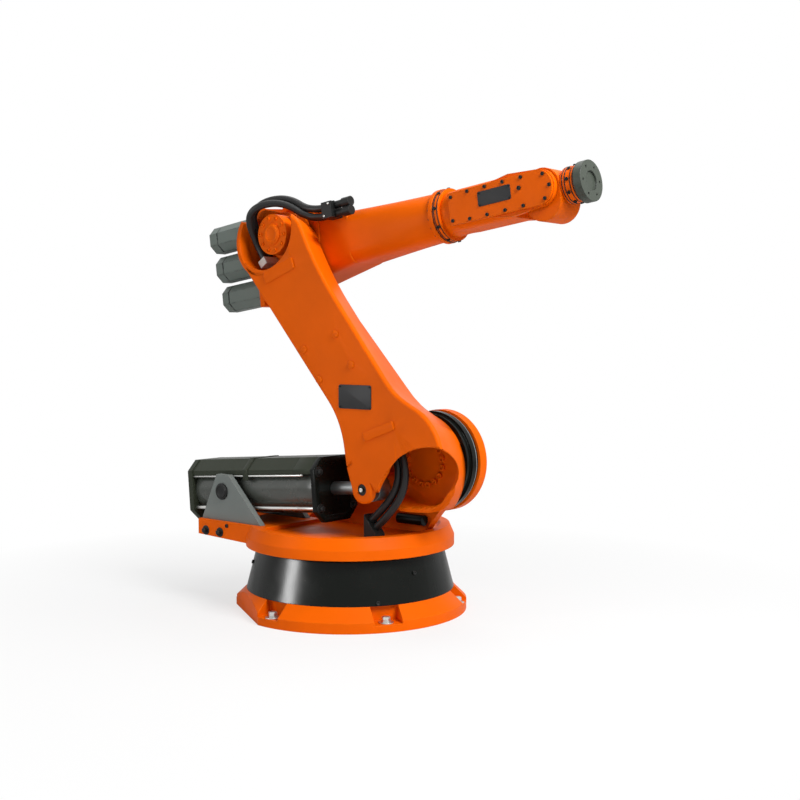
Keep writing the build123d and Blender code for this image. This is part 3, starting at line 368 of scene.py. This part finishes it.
# Servo motors: eight-sided cast housings, grey with their corners and chamfers painted dark as shade, each flanged to
# its gear.
# Four screws hold the end cap, and two round plugs take the power and signal cables.
# The near-black edge colour, laid at full strength over a wide edge radius, is painted shade on the housings' chamfers
# and corners.
motor_grey = paint("motor_grey", colour=(0.135, 0.162, 0.145), wear_and_shade_colour=(0.006, 0.007, 0.006), edge_radius=0.014,
                   edge_wear_and_shade=1.0, gloss=0.32, peel=0.1, shine=0.2)
coat_nodes(motor_grey, "shoulder_motor", "slew_motor", "elbow_motor",
           "upper_wrist_motor", "middle_wrist_motor", "lower_wrist_motor")
arm_frame = Matrix.Translation((-0.235182, 0, 1.745190)) @ Matrix.Rotation(radians(-7.5), 4, "Y")
arm_rear = -0.292
wrist_motors = ((0.373, 0.1045), (0.346, -0.0505), (0.319, -0.2055))
wrist_motor_width, elbow_motor_width, deck_motor_width = 0.13, 0.16, 0.18
end_screw_share, end_screw_sink = 0.29, 0.0045
plug_side, plug_height, plug_backs = 0.065, 0.022, (0.1, 0.155)


def end_of(node, way):
    """The middle of a motor's free end."""
    low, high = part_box(node)
    middle = (Vector(low) + Vector(high)) / 2
    half = (Vector(high) - Vector(low)) / 2
    return facing(middle + Vector(way) * abs(half.dot(Vector(way))), way)


def end_screws(end, width):
    """Four places round a motor's end, a little sunk."""
    reach = width * end_screw_share
    return [end @ Matrix.Translation((x, y, -end_screw_sink)) for x in (-reach, reach) for y in (-reach, reach)]


screw_10 = cap_screw(radius=0.0075, height=0.006)
arm_motor_places = end_screws(end_of("elbow_motor", (0, 1, 0)), elbow_motor_width)
for length, height in wrist_motors:
    arm_motor_places += end_screws(arm_frame @ facing((arm_rear - length, 0, height), (-1, 0, 0)), wrist_motor_width)
set_out(screw_10, "arm_motor_screws", arm_motor_places, dark_steel, "forearm")
deck_motor_places = end_screws(end_of("slew_motor", (0, 0, 1)), deck_motor_width)
deck_motor_places += end_screws(end_of("shoulder_motor", (0, 1, 0)), deck_motor_width)
set_out(screw_10, "deck_motor_screws", deck_motor_places, dark_steel, "carousel")
motor_plug = cylinder(radius=0.017, height=plug_height, sides=24)
sink_top(motor_plug, plug_height, margin=0.004, depth=-0.016)
ease(motor_plug, width=0.0015)
plug_places = [
    arm_frame @ facing((arm_rear - length + back, plug_side, height), (0, 1, 0))
    for length, height in wrist_motors
    for back in plug_backs
]
set_out(motor_plug, "wrist_motor_plugs", plug_places, dark_steel, "forearm", last=True)

# Trunnion brackets: thick grey plates cut from steel, bolted to the shelf on both sides of the counterbalance.
# A black round cap with a turned centre keeps dirt out of the near trunnion bearing.
bracket_grey = paint("bracket_grey", colour=(0.17, 0.19, 0.18), wear_and_shade_colour=(0.3, 0.31, 0.3), edge_radius=0.004,
                     edge_wear_and_shade=0.4, gloss=0.34, peel=0.06, shine=0.2)
coat_nodes(bracket_grey, "right_trunnion_bracket", "left_trunnion_bracket")
trunnion_x, trunnion_height, bracket_face = -0.490, 0.540, -0.365
cap_height, cap_dish = 0.008, 0.003
bearing_cap = cylinder(radius=0.039, height=cap_height, sides=48)
sink_top(bearing_cap, cap_height, margin=0.012, depth=cap_dish)
sink_top(bearing_cap, cap_height - cap_dish, margin=0.008, depth=-0.004)
ease(bearing_cap, width=0.0012)
set_out(bearing_cap, "trunnion_cap", [facing((trunnion_x, bracket_face, trunnion_height), (0, -1, 0))],
        dark_steel, "carousel", last=True)

# Counterbalance: a satin grey spring barrel between black end plates, drawn together by four bright tie rods.
# Nuts close the rods at both ends, and a strap holds the bent sheet hood over the barrel.
satin_grey = paint("satin_grey", colour=(0.06, 0.067, 0.058), wear_and_shade_colour=(0.12, 0.13, 0.12), edge_radius=0.003,
                   edge_wear_and_shade=0.3, gloss=0.16, peel=0.02, shine=0.5)
hood_black = paint("hood_black", colour=(0.03, 0.036, 0.024), wear_and_shade_colour=(0.07, 0.076, 0.062), edge_radius=0.004,
                   edge_wear_and_shade=0.3, gloss=0.32, peel=0.06, shine=0.12)
coat_nodes(satin_grey, "counterbalance_barrel")
coat_nodes(hood_black, "barrel_rear_plate", "barrel_hood")
coat_nodes(black, "barrel_front_head")
coat_nodes(zinc, "barrel_tie_rods")
counter_frame = Matrix.Translation((trunnion_x, -0.200, trunnion_height)) @ Matrix.Rotation(radians(-4.72), 4, "Y")
along_barrel = Matrix.Rotation(radians(90), 4, "Y")
rear_face, barrel_end, head_back, head_front = -0.280, 0.4465, 0.561, 0.587
front_run = head_back - barrel_end
head_half, head_rise, head_corner, head_rim_width, head_dish = 0.134, 0.148, 0.052, 0.03, 0.006
rod_spots = [(y, z) for y in (-0.108, 0.108) for z in (-0.083, 0.083)]
rail_start, rail_end, rail_side, rail_height = -0.25, 0.5, 0.1235, 0.0685


def block(low, high):
    """A cube stretched between two corners, the start of a flat-sided piece."""
    low, high = Vector(low), Vector(high)
    bpy.ops.object.select_all(action="DESELECT")
    bpy.ops.mesh.primitive_cube_add(size=1)
    piece = bpy.context.object
    piece.data.transform(Matrix.Translation((low + high) / 2) @ Matrix.Diagonal((*(high - low), 1)))
    return piece


def bent_sheet(start, end, half, lip, top, corner, thick):
    """A sheet bent over the barrel: flat top, sloping shoulders and two straight sides, open below and at its ends."""
    sheet = block((start, -half, lip), (end, half, top))
    pick(sheet, "EDGE", lambda ends: all(point.z > top - 1e-5 for point in ends) and abs(ends[0].x - ends[1].x) > 1e-4)
    bpy.ops.mesh.bevel(offset=corner, segments=1, affect="EDGES")
    bpy.ops.object.mode_set(mode="OBJECT")
    pick(sheet, "FACE", lambda points: all(point.z < lip + 1e-5 for point in points)
         or max(point.x for point in points) - min(point.x for point in points) < 1e-4)
    bpy.ops.mesh.delete(type="FACE")
    bpy.ops.object.mode_set(mode="OBJECT")
    wall = sheet.modifiers.new("wall", "SOLIDIFY")
    wall.thickness = thick
    wall.offset = -1.0
    take(sheet)
    bpy.ops.object.modifier_apply(modifier="wall")
    return ease(sheet, width=thick * 0.25)


def on_counter(piece, name, finish, spots=((0, 0),)):
    """Puts a piece of the counterbalance in its place, or in several across the barrel."""
    places = [counter_frame @ Matrix.Translation((0, y, z)) for y, z in spots]
    return set_out(piece, name, places, finish, "counterbalance", last=True)


tie_nut = hex_bolt(across=0.024, height=0.014)
nut_places = [
    counter_frame @ facing((along, y, z), (way, 0, 0))
    for along, way in ((rear_face, -1), (head_front, 1))
    for y, z in rod_spots
]
set_out(tie_nut, "tie_rod_nuts", nut_places, dark_steel, "counterbalance", last=True)
hood_strap = bent_sheet(start=0.113, end=0.147, half=0.1312, lip=0.049, top=0.1512, corner=0.0535, thick=0.003)
on_counter(hood_strap, "hood_strap", hood_black)
hood_front = bent_sheet(barrel_end, head_back, half=0.128, lip=0.074, top=head_rise, corner=head_corner, thick=0.005)
on_counter(hood_front, "hood_front", hood_black)
barrel_front = cylinder(radius=0.114, height=front_run, sides=128, seat=barrel_end)
barrel_front.data.transform(along_barrel)
on_counter(ease(barrel_front, width=0.0005), "barrel_front", satin_grey)
tie_front = cylinder(radius=0.009, height=front_run, sides=32, seat=barrel_end)
sink_top(tie_front, head_back, margin=0.003, depth=-0.004)
tie_front.data.transform(along_barrel)
on_counter(ease(tie_front, width=0.0005), "tie_rods_front", zinc, rod_spots)
hood_rail = cylinder(radius=0.005, height=rail_end - rail_start, sides=24, seat=rail_start)
sink_top(hood_rail, rail_end, margin=0.002, depth=-0.003)
hood_rail.data.transform(along_barrel)
rail_spots = [(-rail_side, rail_height), (rail_side, rail_height)]
on_counter(ease(hood_rail, width=0.0004), "hood_rails", zinc, rail_spots)
head_plate = block((head_back, -head_half, -head_rise), (head_front, head_half, head_rise))
pick(head_plate, "EDGE", lambda ends: abs(ends[0].x - ends[1].x) > 1e-3)
bpy.ops.mesh.bevel(offset=head_corner, segments=1, affect="EDGES")
bpy.ops.object.mode_set(mode="OBJECT")
pick(head_plate, "FACE", lambda points: all(point.x > head_front - 1e-4 for point in points))
bpy.ops.mesh.inset(thickness=head_rim_width)
bpy.ops.mesh.extrude_region_move(TRANSFORM_OT_translate={"value": (-head_dish, 0, 0)})
bpy.ops.object.mode_set(mode="OBJECT")
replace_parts(on_counter(ease(head_plate, width=0.002), "front_head_plate", black), "barrel_front_head")

# Piston rod of the counterbalance: ground and polished steel that slides out of the front head.
# Its forged eye runs between the pin's two ends in the link's lug.
coat_nodes(satin_steel, "counterbalance_rod")

# Link arm: a tall hollow orange casting from the shoulder to the elbow, open at its foot and head.
# Cap screws in the foot hold it to the shoulder gear, and a bare black plate is screwed to its near face.
# The casting is a copy of the CAD node with the foot's opening cut to its elliptical edge.
coat_nodes(dark_steel, "link_pin_ends")
link_lean = radians(34.9)
link_frame = Matrix.Translation((shoulder_x, 0, shoulder_height)) @ Matrix.Rotation(-link_lean, 4, "Y")
link_face = -0.290
opening_way = Vector((-0.6232, 0.773, -0.1191)).normalized()
opening_right = Vector((0.7375, 0.6351, 0.2297)).normalized()
opening_seat, opening_depth = (0.7802, -0.42, 0.7153), 0.345
opening_half_width, opening_half_height = 0.153, 0.1165
gear_circle, gear_seat = 0.1, -0.034
gear_turns = [pi * step / 8 for step in range(16)]
pin_back, pin_along = -0.186, -0.007
plate_front, plate_along, plate_thick = 0.014, 0.346, 0.003
rivet_x, rivet_y = 0.087, 0.045
link_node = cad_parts["link_arm"]
link_casting = bpy.data.objects.new("link_casting", link_node.data.copy())
link_casting.data.transform(link_node.matrix_world)
bpy.context.scene.collection.objects.link(link_casting)
pick(link_casting, "FACE", lambda points: True)
bpy.ops.mesh.remove_doubles(threshold=1e-6)
bpy.ops.object.mode_set(mode="OBJECT")
opening = cylinder(radius=1.0, height=opening_depth, sides=96)
opening.data.transform(Matrix.Diagonal((opening_half_width, opening_half_height, 1, 1)))
opening_up = opening_way.cross(opening_right)
opening_turn = Matrix((opening_right, opening_up, opening_way)).transposed().to_4x4()
opening.data.transform(Matrix.Translation(opening_seat) @ opening_turn)
pick(opening, "FACE", lambda points: True)
bpy.ops.mesh.normals_make_consistent(inside=False)
bpy.ops.object.mode_set(mode="OBJECT")
cut = link_casting.modifiers.new("opening", "BOOLEAN")
cut.operation = "DIFFERENCE"
cut.solver = "EXACT"
cut.object = opening
take(link_casting)
bpy.ops.object.modifier_apply(modifier="opening")
bpy.data.objects.remove(opening)
take(link_casting)
bpy.ops.object.shade_smooth_by_angle(angle=radians(32))
level = link_casting.modifiers.new("level", "WEIGHTED_NORMAL")
level.weight = 100
level.keep_sharp = True
bpy.ops.object.modifier_apply(modifier="level")
dress(link_casting, orange)
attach(link_casting, "link")
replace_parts(link_casting, "link_arm")
screw_20 = cap_screw(radius=0.0135, height=0.012)
gear_places = [
    link_frame @ facing((gear_circle * cos(a), gear_seat, gear_circle * sin(a)), (0, -1, 0)) for a in gear_turns
]
set_out(screw_20, "shoulder_gear_screws", gear_places, orange, "link", last=True)


def rounded_plate(width, height, thick, corner):
    """A flat plate lying on its seat with rounded corners and eased rim."""
    plate = block((-width / 2, -height / 2, 0), (width / 2, height / 2, thick))
    pick(plate, "EDGE", lambda ends: abs(ends[0].z - ends[1].z) > thick / 2)
    bpy.ops.mesh.bevel(offset=corner, segments=4, affect="EDGES")
    bpy.ops.object.mode_set(mode="OBJECT")
    return ease(plate, width=thick * 0.3)


plate_black = paint("plate_black", colour=(0.013, 0.013, 0.014), wear_and_shade_colour=(0.06, 0.06, 0.06), edge_radius=0.002,
                    edge_wear_and_shade=0.3, gloss=0.36, peel=0.04, shine=0.3)
upright = Matrix.Rotation(radians(90), 4, "X")
plate_place = link_frame @ Matrix.Translation((plate_front, link_face, plate_along))
plate_place @= Matrix.Rotation(link_lean, 4, "Y") @ upright
link_plate = rounded_plate(width=0.19, height=0.105, thick=plate_thick, corner=0.008)
set_out(link_plate, "link_plate", [plate_place], plate_black, "link", last=True)
rivet = cap_screw(radius=0.004, height=0.003)
rivet_places = [
    plate_place @ Matrix.Translation((x, y, plate_thick)) for x in (-rivet_x, rivet_x) for y in (-rivet_y, rivet_y)
]
set_out(rivet, "link_plate_rivets", rivet_places, dark_steel, "link")
pin_place = link_frame @ facing((pin_back, link_face, pin_along), (0, -1, 0))
set_out(screw_12, "pin_screw", [pin_place], zinc, "link")

# Elbow: an orange bearing boss in the link's head, closed by a stepped cover on a ring of cap screws.
# The bearing ring behind it is blackened steel, and a cast rim stands round the head's open mouth.
coat_nodes(orange, "elbow_boss")
coat_nodes(dark_steel, "elbow_bearing")
link_length, boss_face, boss_circle = 1.25, -0.274, 0.075
boss_turns = [pi * step / 5 for step in range(10)]
cover_height, cover_step = 0.006, 0.005
rim_place = (-0.07, -0.224, 1.26)
rim_top, rim_upper_end, rim_lower_end = 0.158, -0.036, -0.02
elbow_cover = cylinder(radius=0.05, height=cover_height, sides=64)
sink_top(elbow_cover, cover_height, margin=0.008, depth=-cover_step)
sink_top(elbow_cover, cover_height + cover_step, margin=0.012, depth=0.004)
ease(elbow_cover, width=0.0015)
boss_place = link_frame @ facing((0, boss_face, link_length), (0, -1, 0))
set_out(elbow_cover, "elbow_cover", [boss_place], orange, "link", last=True)
boss_places = [boss_place @ Matrix.Translation((boss_circle * cos(a), boss_circle * sin(a), 0)) for a in boss_turns]
set_out(screw_12, "elbow_screws", boss_places, orange, "link")


def off_rim(points):
    """Whether a face lies where the mouth's rim leaves the ring open."""
    right_end = rim_upper_end if min(point.y for point in points) > 0 else rim_lower_end
    return max(point.y for point in points) > rim_top or max(point.x for point in points) > right_end


head_rim = band(radius=0.139, wall=0.0258, depth=0.066, sides=160)
pick(head_rim, "FACE", off_rim)
bpy.ops.mesh.delete(type="FACE")
bpy.ops.mesh.select_all(action="SELECT")
bpy.ops.mesh.fill_holes(sides=0)
bpy.ops.mesh.normals_make_consistent(inside=False)
bpy.ops.object.mode_set(mode="OBJECT")
set_out(head_rim, "link_head_rim", [link_frame @ Matrix.Translation(rim_place) @ upright],
        orange, "link", last=True)

# Lower hoses: two black rubber conduits from a clamp on the deck into the link's open foot.
# They are held by a second clamp inside the link.
coat_nodes(dark_steel, "deck_hose_clamp", "link_hose_clamp")
hose_radius = 0.017
rubber = paint("hose_rubber", colour=(0.010, 0.010, 0.010), wear_and_shade_colour=(0.03, 0.03, 0.03), edge_radius=0.002,
               edge_wear_and_shade=0.1, gloss=0.3, peel=0.2, shine=0.3)


def hose(name, route):
    """A rubber hose on a smooth line through the route's points: the tube and the points that it follows."""
    line = bpy.data.curves.new(name, "CURVE")
    line.dimensions = "3D"
    line.resolution_u = 12
    spline = line.splines.new("NURBS")
    spline.points.add(len(route) - 1)
    for point, place in zip(spline.points, route):
        point.co = (*place, 1)
    spline.order_u = 3
    spline.use_endpoint_u = True
    tube = bpy.data.objects.new(name, line)
    bpy.context.scene.collection.objects.link(tube)
    bpy.context.view_layer.update()
    plain = bpy.data.meshes.new_from_object(tube)
    path = [vertex.co.copy() for vertex in plain.vertices]
    bpy.data.meshes.remove(plain)
    line.bevel_depth = hose_radius
    line.bevel_resolution = 6
    line.use_fill_caps = True
    take(tube)
    bpy.ops.object.convert(target="MESH")
    bpy.ops.object.shade_smooth_by_angle(angle=radians(40))
    dress(tube, rubber)
    return tube, path


def lay_hoses(run, routes):
    """Lays the hoses of one run between two bodies; the first one stands for the run's CAD node."""
    tubes = []
    for row, route in enumerate(routes):
        tube, path = hose(f"{run}_hose_{row + 1}", route)
        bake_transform(tube)
        tubes.append(tube)
    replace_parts(tubes[0], f"{run}_hoses")


lower_routes = [
    [(0.2951, -0.18, 0.4596), (0.3756, -0.18, 0.5271), (0.465, -0.19, 0.6417), (0.4457, -0.19, 0.7692),
     (0.3713, -0.19, 0.8758)],
    [(0.3209, -0.18, 0.429), (0.4013, -0.18, 0.4965), (0.505, -0.19, 0.6283), (0.4785, -0.19, 0.7921),
     (0.4041, -0.19, 0.8987)],
]
lay_hoses("lower", lower_routes)

# Forearm: a hollow orange casting, deep at the elbow and drawn out to a round tube, with a plate for the motors.
# Cap screws hold the rear plate, and a ring of them shows behind the flange that carries the wrist.
coat_nodes(orange, "arm_casting", "arm_rear_plate", "arm_front_ring")
rear_side, rear_rises = 0.098, (0.15, 0.03, -0.13, -0.25)
collar_seat = -0.118
roll_frame = arm_frame @ Matrix.Translation((0, 0, -0.055))
front_ring_back, front_ring_circle = 0.795, 0.1125
ring_turns = [2 * pi * (step + 0.5) / 18 for step in range(18)]
rear_places = [arm_frame @ facing((arm_rear, y, z), (-1, 0, 0)) for y in (-rear_side, rear_side) for z in rear_rises]
set_out(screw_12, "rear_plate_screws", rear_places, dark_steel, "forearm")
elbow_collar = band(radius=0.13, wall=0.03, depth=0.007)
set_out(elbow_collar, "elbow_collar_ring", [arm_frame @ facing((0, collar_seat, 0), (0, -1, 0))],
        orange, "forearm", last=True)
screw_6 = cap_screw(radius=0.0048, height=0.005)
front_places = [
    roll_frame @ facing((front_ring_back, front_ring_circle * cos(a), front_ring_circle * sin(a)), (-1, 0, 0))
    for a in ring_turns
]
set_out(screw_6, "front_ring_screws", front_places, dark_steel, "forearm")

# Wrist: an orange housing that turns on the forearm, with long sheet covers screwed over its drives on both sides.
# Dark seals and screws go round its ring, and a bare black plate and a blanking screw are on the near cover.
coat_nodes(orange, "wrist_ring", "wrist_housing", "right_wrist_cover", "left_wrist_cover")
wrist_ring_middle, wrist_ring_radius = 0.832, 0.115
wrist_seal_places = (0.8165, 0.8235, 0.8405)
cover_face, cover_end, cover_end_circle = 0.112, 1.35, 0.06
cover_spots = [(0.922, 0.05), (0.922, -0.05)]
cover_spots += [(x, z) for x in (1.01, 1.10, 1.19, 1.28) for z in (-0.058, 0.058)]
cover_end_turns = (radians(-55), 0, radians(55))
cover_spots += [(cover_end + cover_end_circle * cos(a), cover_end_circle * sin(a)) for a in cover_end_turns]
cover_plate_along, cover_plate_rise, cover_plate_thick = 1.142, 0.012, 0.002
cover_rivet_x, cover_rivet_y = 0.076, 0.025
blank_along, blank_rise = 1.267, 0.0165


def round_axis(along, radius):
    """Places round the wrist's roll axis, facing outwards."""
    return [
        roll_frame @ facing((along, radius * cos(a), radius * sin(a)), (0, cos(a), sin(a))) for a in ring_turns[::2]
    ]


set_out(screw_10, "wrist_ring_screws", round_axis(wrist_ring_middle, wrist_ring_radius),
        dark_steel, "wrist")
wrist_seal = band(radius=0.1146, wall=0.0016, depth=0.004)
set_out(wrist_seal, "wrist_seals", [roll_frame @ facing((x, 0, 0), (1, 0, 0)) for x in wrist_seal_places],
        dark_steel, "wrist", last=True)
for side, name in ((-1, "right_cover_screws"), (1, "left_cover_screws")):
    set_out(screw_10, name, [roll_frame @ facing((x, side * cover_face, z), (0, side, 0)) for x, z in cover_spots],
            dark_steel, "wrist")
cover_place = roll_frame @ Matrix.Translation((cover_plate_along, -cover_face, cover_plate_rise)) @ upright
cover_plate = rounded_plate(width=0.165, height=0.062, thick=cover_plate_thick, corner=0.006)
set_out(cover_plate, "wrist_cover_plate", [cover_place], plate_black, "wrist", last=True)
cover_rivet_places = [
    cover_place @ Matrix.Translation((x, y, cover_plate_thick))
    for x in (-cover_rivet_x, cover_rivet_x)
    for y in (-cover_rivet_y, cover_rivet_y)
]
set_out(rivet, "wrist_plate_rivets", cover_rivet_places, dark_steel, "wrist", last=True)
set_out(screw_12, "wrist_mark", [roll_frame @ facing((blank_along, -cover_face, blank_rise), (0, -1, 0))],
        dark_steel, "wrist", last=True)

# Hand: a short orange housing in the wrist's fork with a drilled ring in front of it.
# Cap screws round the ring hold the last gear, between dark seals.
coat_nodes(orange, "hand_housing", "hand_ring")
hand_ring_radius = 0.075
hand_seal_steps = (-0.026, -0.014, 0.01, 0.022)
low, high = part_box("hand_ring")
ring_middle = (roll_frame.inverted() @ ((Vector(low) + Vector(high)) / 2)).x
set_out(screw_10, "hand_ring_screws", round_axis(ring_middle, hand_ring_radius),
        dark_steel, "hand", last=True)
hand_seal = band(radius=0.0746, wall=0.0016, depth=0.004)
set_out(hand_seal, "hand_seals", [roll_frame @ facing((ring_middle + x, 0, 0), (1, 0, 0)) for x in hand_seal_steps],
        dark_steel, "hand", last=True)

# Tool flange: a turned steel disc with six tapped holes and a centring bore, phosphated to a dark grey green.
# It is screwed to the last gear and left bare for the tool.
tool_grey = paint("phosphated_steel", colour=(0.044, 0.053, 0.041), wear_and_shade_colour=(0.015, 0.016, 0.015), edge_radius=0.006,
                  edge_wear_and_shade=0.9, gloss=0.34, peel=0.05, shine=0.3)
coat_nodes(tool_grey, "tool_flange")

# Upper hoses: two more conduits that leave a white socket in the link's head and loop over the elbow to the forearm.
# A black clamp holds them there with low cap screws, and their plugged ends stick out in front of it.
white_plastic = paint("white_plastic", colour=(0.66, 0.66, 0.62), wear_and_shade_colour=(0.75, 0.75, 0.72), edge_radius=0.003,
                      edge_wear_and_shade=0.2, gloss=0.4, peel=0.1, shine=0.4)
coat_nodes(white_plastic, "head_hose_socket")
coat_nodes(dark_steel, "arm_hose_clamp", "arm_hose_stubs")
upper_routes = [
    [(-0.3422, -0.22, 1.6364), (-0.3902, -0.22, 1.7053), (-0.3672, -0.308, 1.8233), (-0.2928, -0.308, 1.881),
     (-0.1943, -0.231, 1.894), (-0.0964, -0.154, 1.8099), (0.0027, -0.154, 1.8229)],
    [(-0.3422, -0.18, 1.6364), (-0.3902, -0.18, 1.7053), (-0.3871, -0.268, 1.8351), (-0.3015, -0.268, 1.9014),
     (-0.1881, -0.211, 1.9164), (-0.1017, -0.154, 1.8495), (-0.0025, -0.154, 1.8626)],
]
lay_hoses("upper", upper_routes)
clamp_back, clamp_front, clamp_middle, clamp_top, clamp_side = 0.26, 0.292, -0.154, 0.103, -0.19
top_places = [arm_frame @ facing((x, clamp_middle, clamp_top), (0, 0, 1)) for x in (clamp_back, clamp_front)]
set_out(screw_6, "clamp_top_screws", top_places, dark_steel, "forearm")
side_spots = ((clamp_back, 0.04), (clamp_front, 0.092))
side_places = [arm_frame @ facing((x, clamp_side, z), (0, -1, 0)) for x, z in side_spots]
set_out(screw_6, "clamp_screws", side_places, zinc, "forearm", last=True)

# Studio: a pale floor that fades into a white backdrop, and three soft lamps.
# A fourth lamp gives the black cone alone its long highlight, and the camera stands at the photograph's angle.
floor_width, floor_tone = 30, 0.74
fade_start, fade_end, fade_least = 0.9, 2.6, 0.68
backdrop_light, room_light = 1.0, 0.24
bpy.ops.object.select_all(action="DESELECT")
bpy.ops.mesh.primitive_plane_add(size=1, location=(0, 0, 0))
floor = bpy.context.object
floor.name = "studio_floor"
floor.scale = (floor_width, floor_width, 1)
bpy.ops.object.transform_apply(location=False, rotation=False, scale=True)
pale = bpy.data.materials.new("pale_floor")
pale.use_nodes = True
pale_nodes, pale_links = pale.node_tree.nodes, pale.node_tree.links
pale_shader = pale_nodes["Principled BSDF"]
pale_shader.inputs["Base Color"].default_value = (floor_tone, floor_tone, floor_tone, 1)
pale_shader.inputs["Roughness"].default_value = 0.9
spot = pale_nodes.new("ShaderNodeTexCoord")
reach = pale_nodes.new("ShaderNodeVectorMath")
reach.operation = "LENGTH"
pale_links.new(spot.outputs["Object"], reach.inputs[0])
fade = pale_nodes.new("ShaderNodeMapRange")
fade.inputs["From Min"].default_value = fade_start
fade.inputs["From Max"].default_value = fade_end
fade.inputs["To Min"].default_value = fade_least
pale_links.new(reach.outputs["Value"], fade.inputs["Value"])
sight = pale_nodes.new("ShaderNodeLightPath")
shown = pale_nodes.new("ShaderNodeMath")
shown.operation = "MULTIPLY"
pale_links.new(fade.outputs["Result"], shown.inputs[0])
pale_links.new(sight.outputs["Is Camera Ray"], shown.inputs[1])
glow = pale_nodes.new("ShaderNodeEmission")
blend = pale_nodes.new("ShaderNodeMixShader")
pale_links.new(shown.outputs["Value"], blend.inputs["Fac"])
pale_links.new(pale_shader.outputs["BSDF"], blend.inputs[1])
pale_links.new(glow.outputs["Emission"], blend.inputs[2])
pale_links.new(blend.outputs["Shader"], pale_nodes["Material Output"].inputs["Surface"])
floor.data.materials.append(pale)

world = bpy.data.worlds.new("studio_light")
bpy.context.scene.world = world
world.use_nodes = True
world_nodes, world_links = world.node_tree.nodes, world.node_tree.links
sky = world_nodes["Background"]
sky.inputs["Color"].default_value = (1, 1, 1, 1)
rays = world_nodes.new("ShaderNodeLightPath")
strength = world_nodes.new("ShaderNodeMapRange")
strength.inputs["To Min"].default_value = room_light
strength.inputs["To Max"].default_value = backdrop_light
seen = world_nodes.new("ShaderNodeMath")
seen.operation = "MAXIMUM"
world_links.new(rays.outputs["Is Camera Ray"], seen.inputs[0])
world_links.new(rays.outputs["Is Glossy Ray"], seen.inputs[1])
world_links.new(seen.outputs["Value"], strength.inputs["Value"])
world_links.new(strength.outputs["Result"], sky.inputs["Strength"])


def lamp(name, place, target, width, height, watts):
    """A soft lamp aimed at a point."""
    light = bpy.data.lights.new(name, "AREA")
    light.shape = "RECTANGLE"
    light.size = width
    light.size_y = height
    light.energy = watts
    holder = bpy.data.objects.new(name, light)
    bpy.context.scene.collection.objects.link(holder)
    holder.location = place
    holder.rotation_euler = (Vector(target) - Vector(place)).to_track_quat("-Z", "Y").to_euler()
    return holder


lamp("key_lamp", place=(4.4, -0.8, 4.4), target=(0.2, -0.2, 1.0), width=2.4, height=2.4, watts=375)
lamp("left_lamp", place=(-2.1, -4.2, 1.7), target=(0.0, -0.2, 0.9), width=1.0, height=2.2, watts=48)
lamp("top_lamp", place=(0.0, 0.6, 5.5), target=(0.0, 0.0, 1.0), width=3.0, height=3.0, watts=80)
gloss_lamp = lamp("gloss_lamp", place=(-1.62, -3.45, 0.9), target=(0.06, -0.45, 0.2), width=0.9, height=1.6, watts=260)
gloss_lamp.visible_diffuse = False
dark_gloss = bpy.data.collections.new("dark_gloss")
dark_gloss.objects.link(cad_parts["base_cone"])
gloss_lamp.light_linking.receiver_collection = dark_gloss

lens = bpy.data.cameras.new("photo_camera")
lens.sensor_width = 36.0
lens.lens = 53.28
camera = bpy.data.objects.new("photo_camera", lens)
bpy.context.scene.collection.objects.link(camera)
camera.location = (3.751, -4.105, 1.277)
camera.rotation_euler = Vector((-0.642, 0.765, -0.054)).to_track_quat("-Z", "Y").to_euler()
bpy.context.scene.camera = camera
bpy.context.scene.view_settings.view_transform = "Standard"
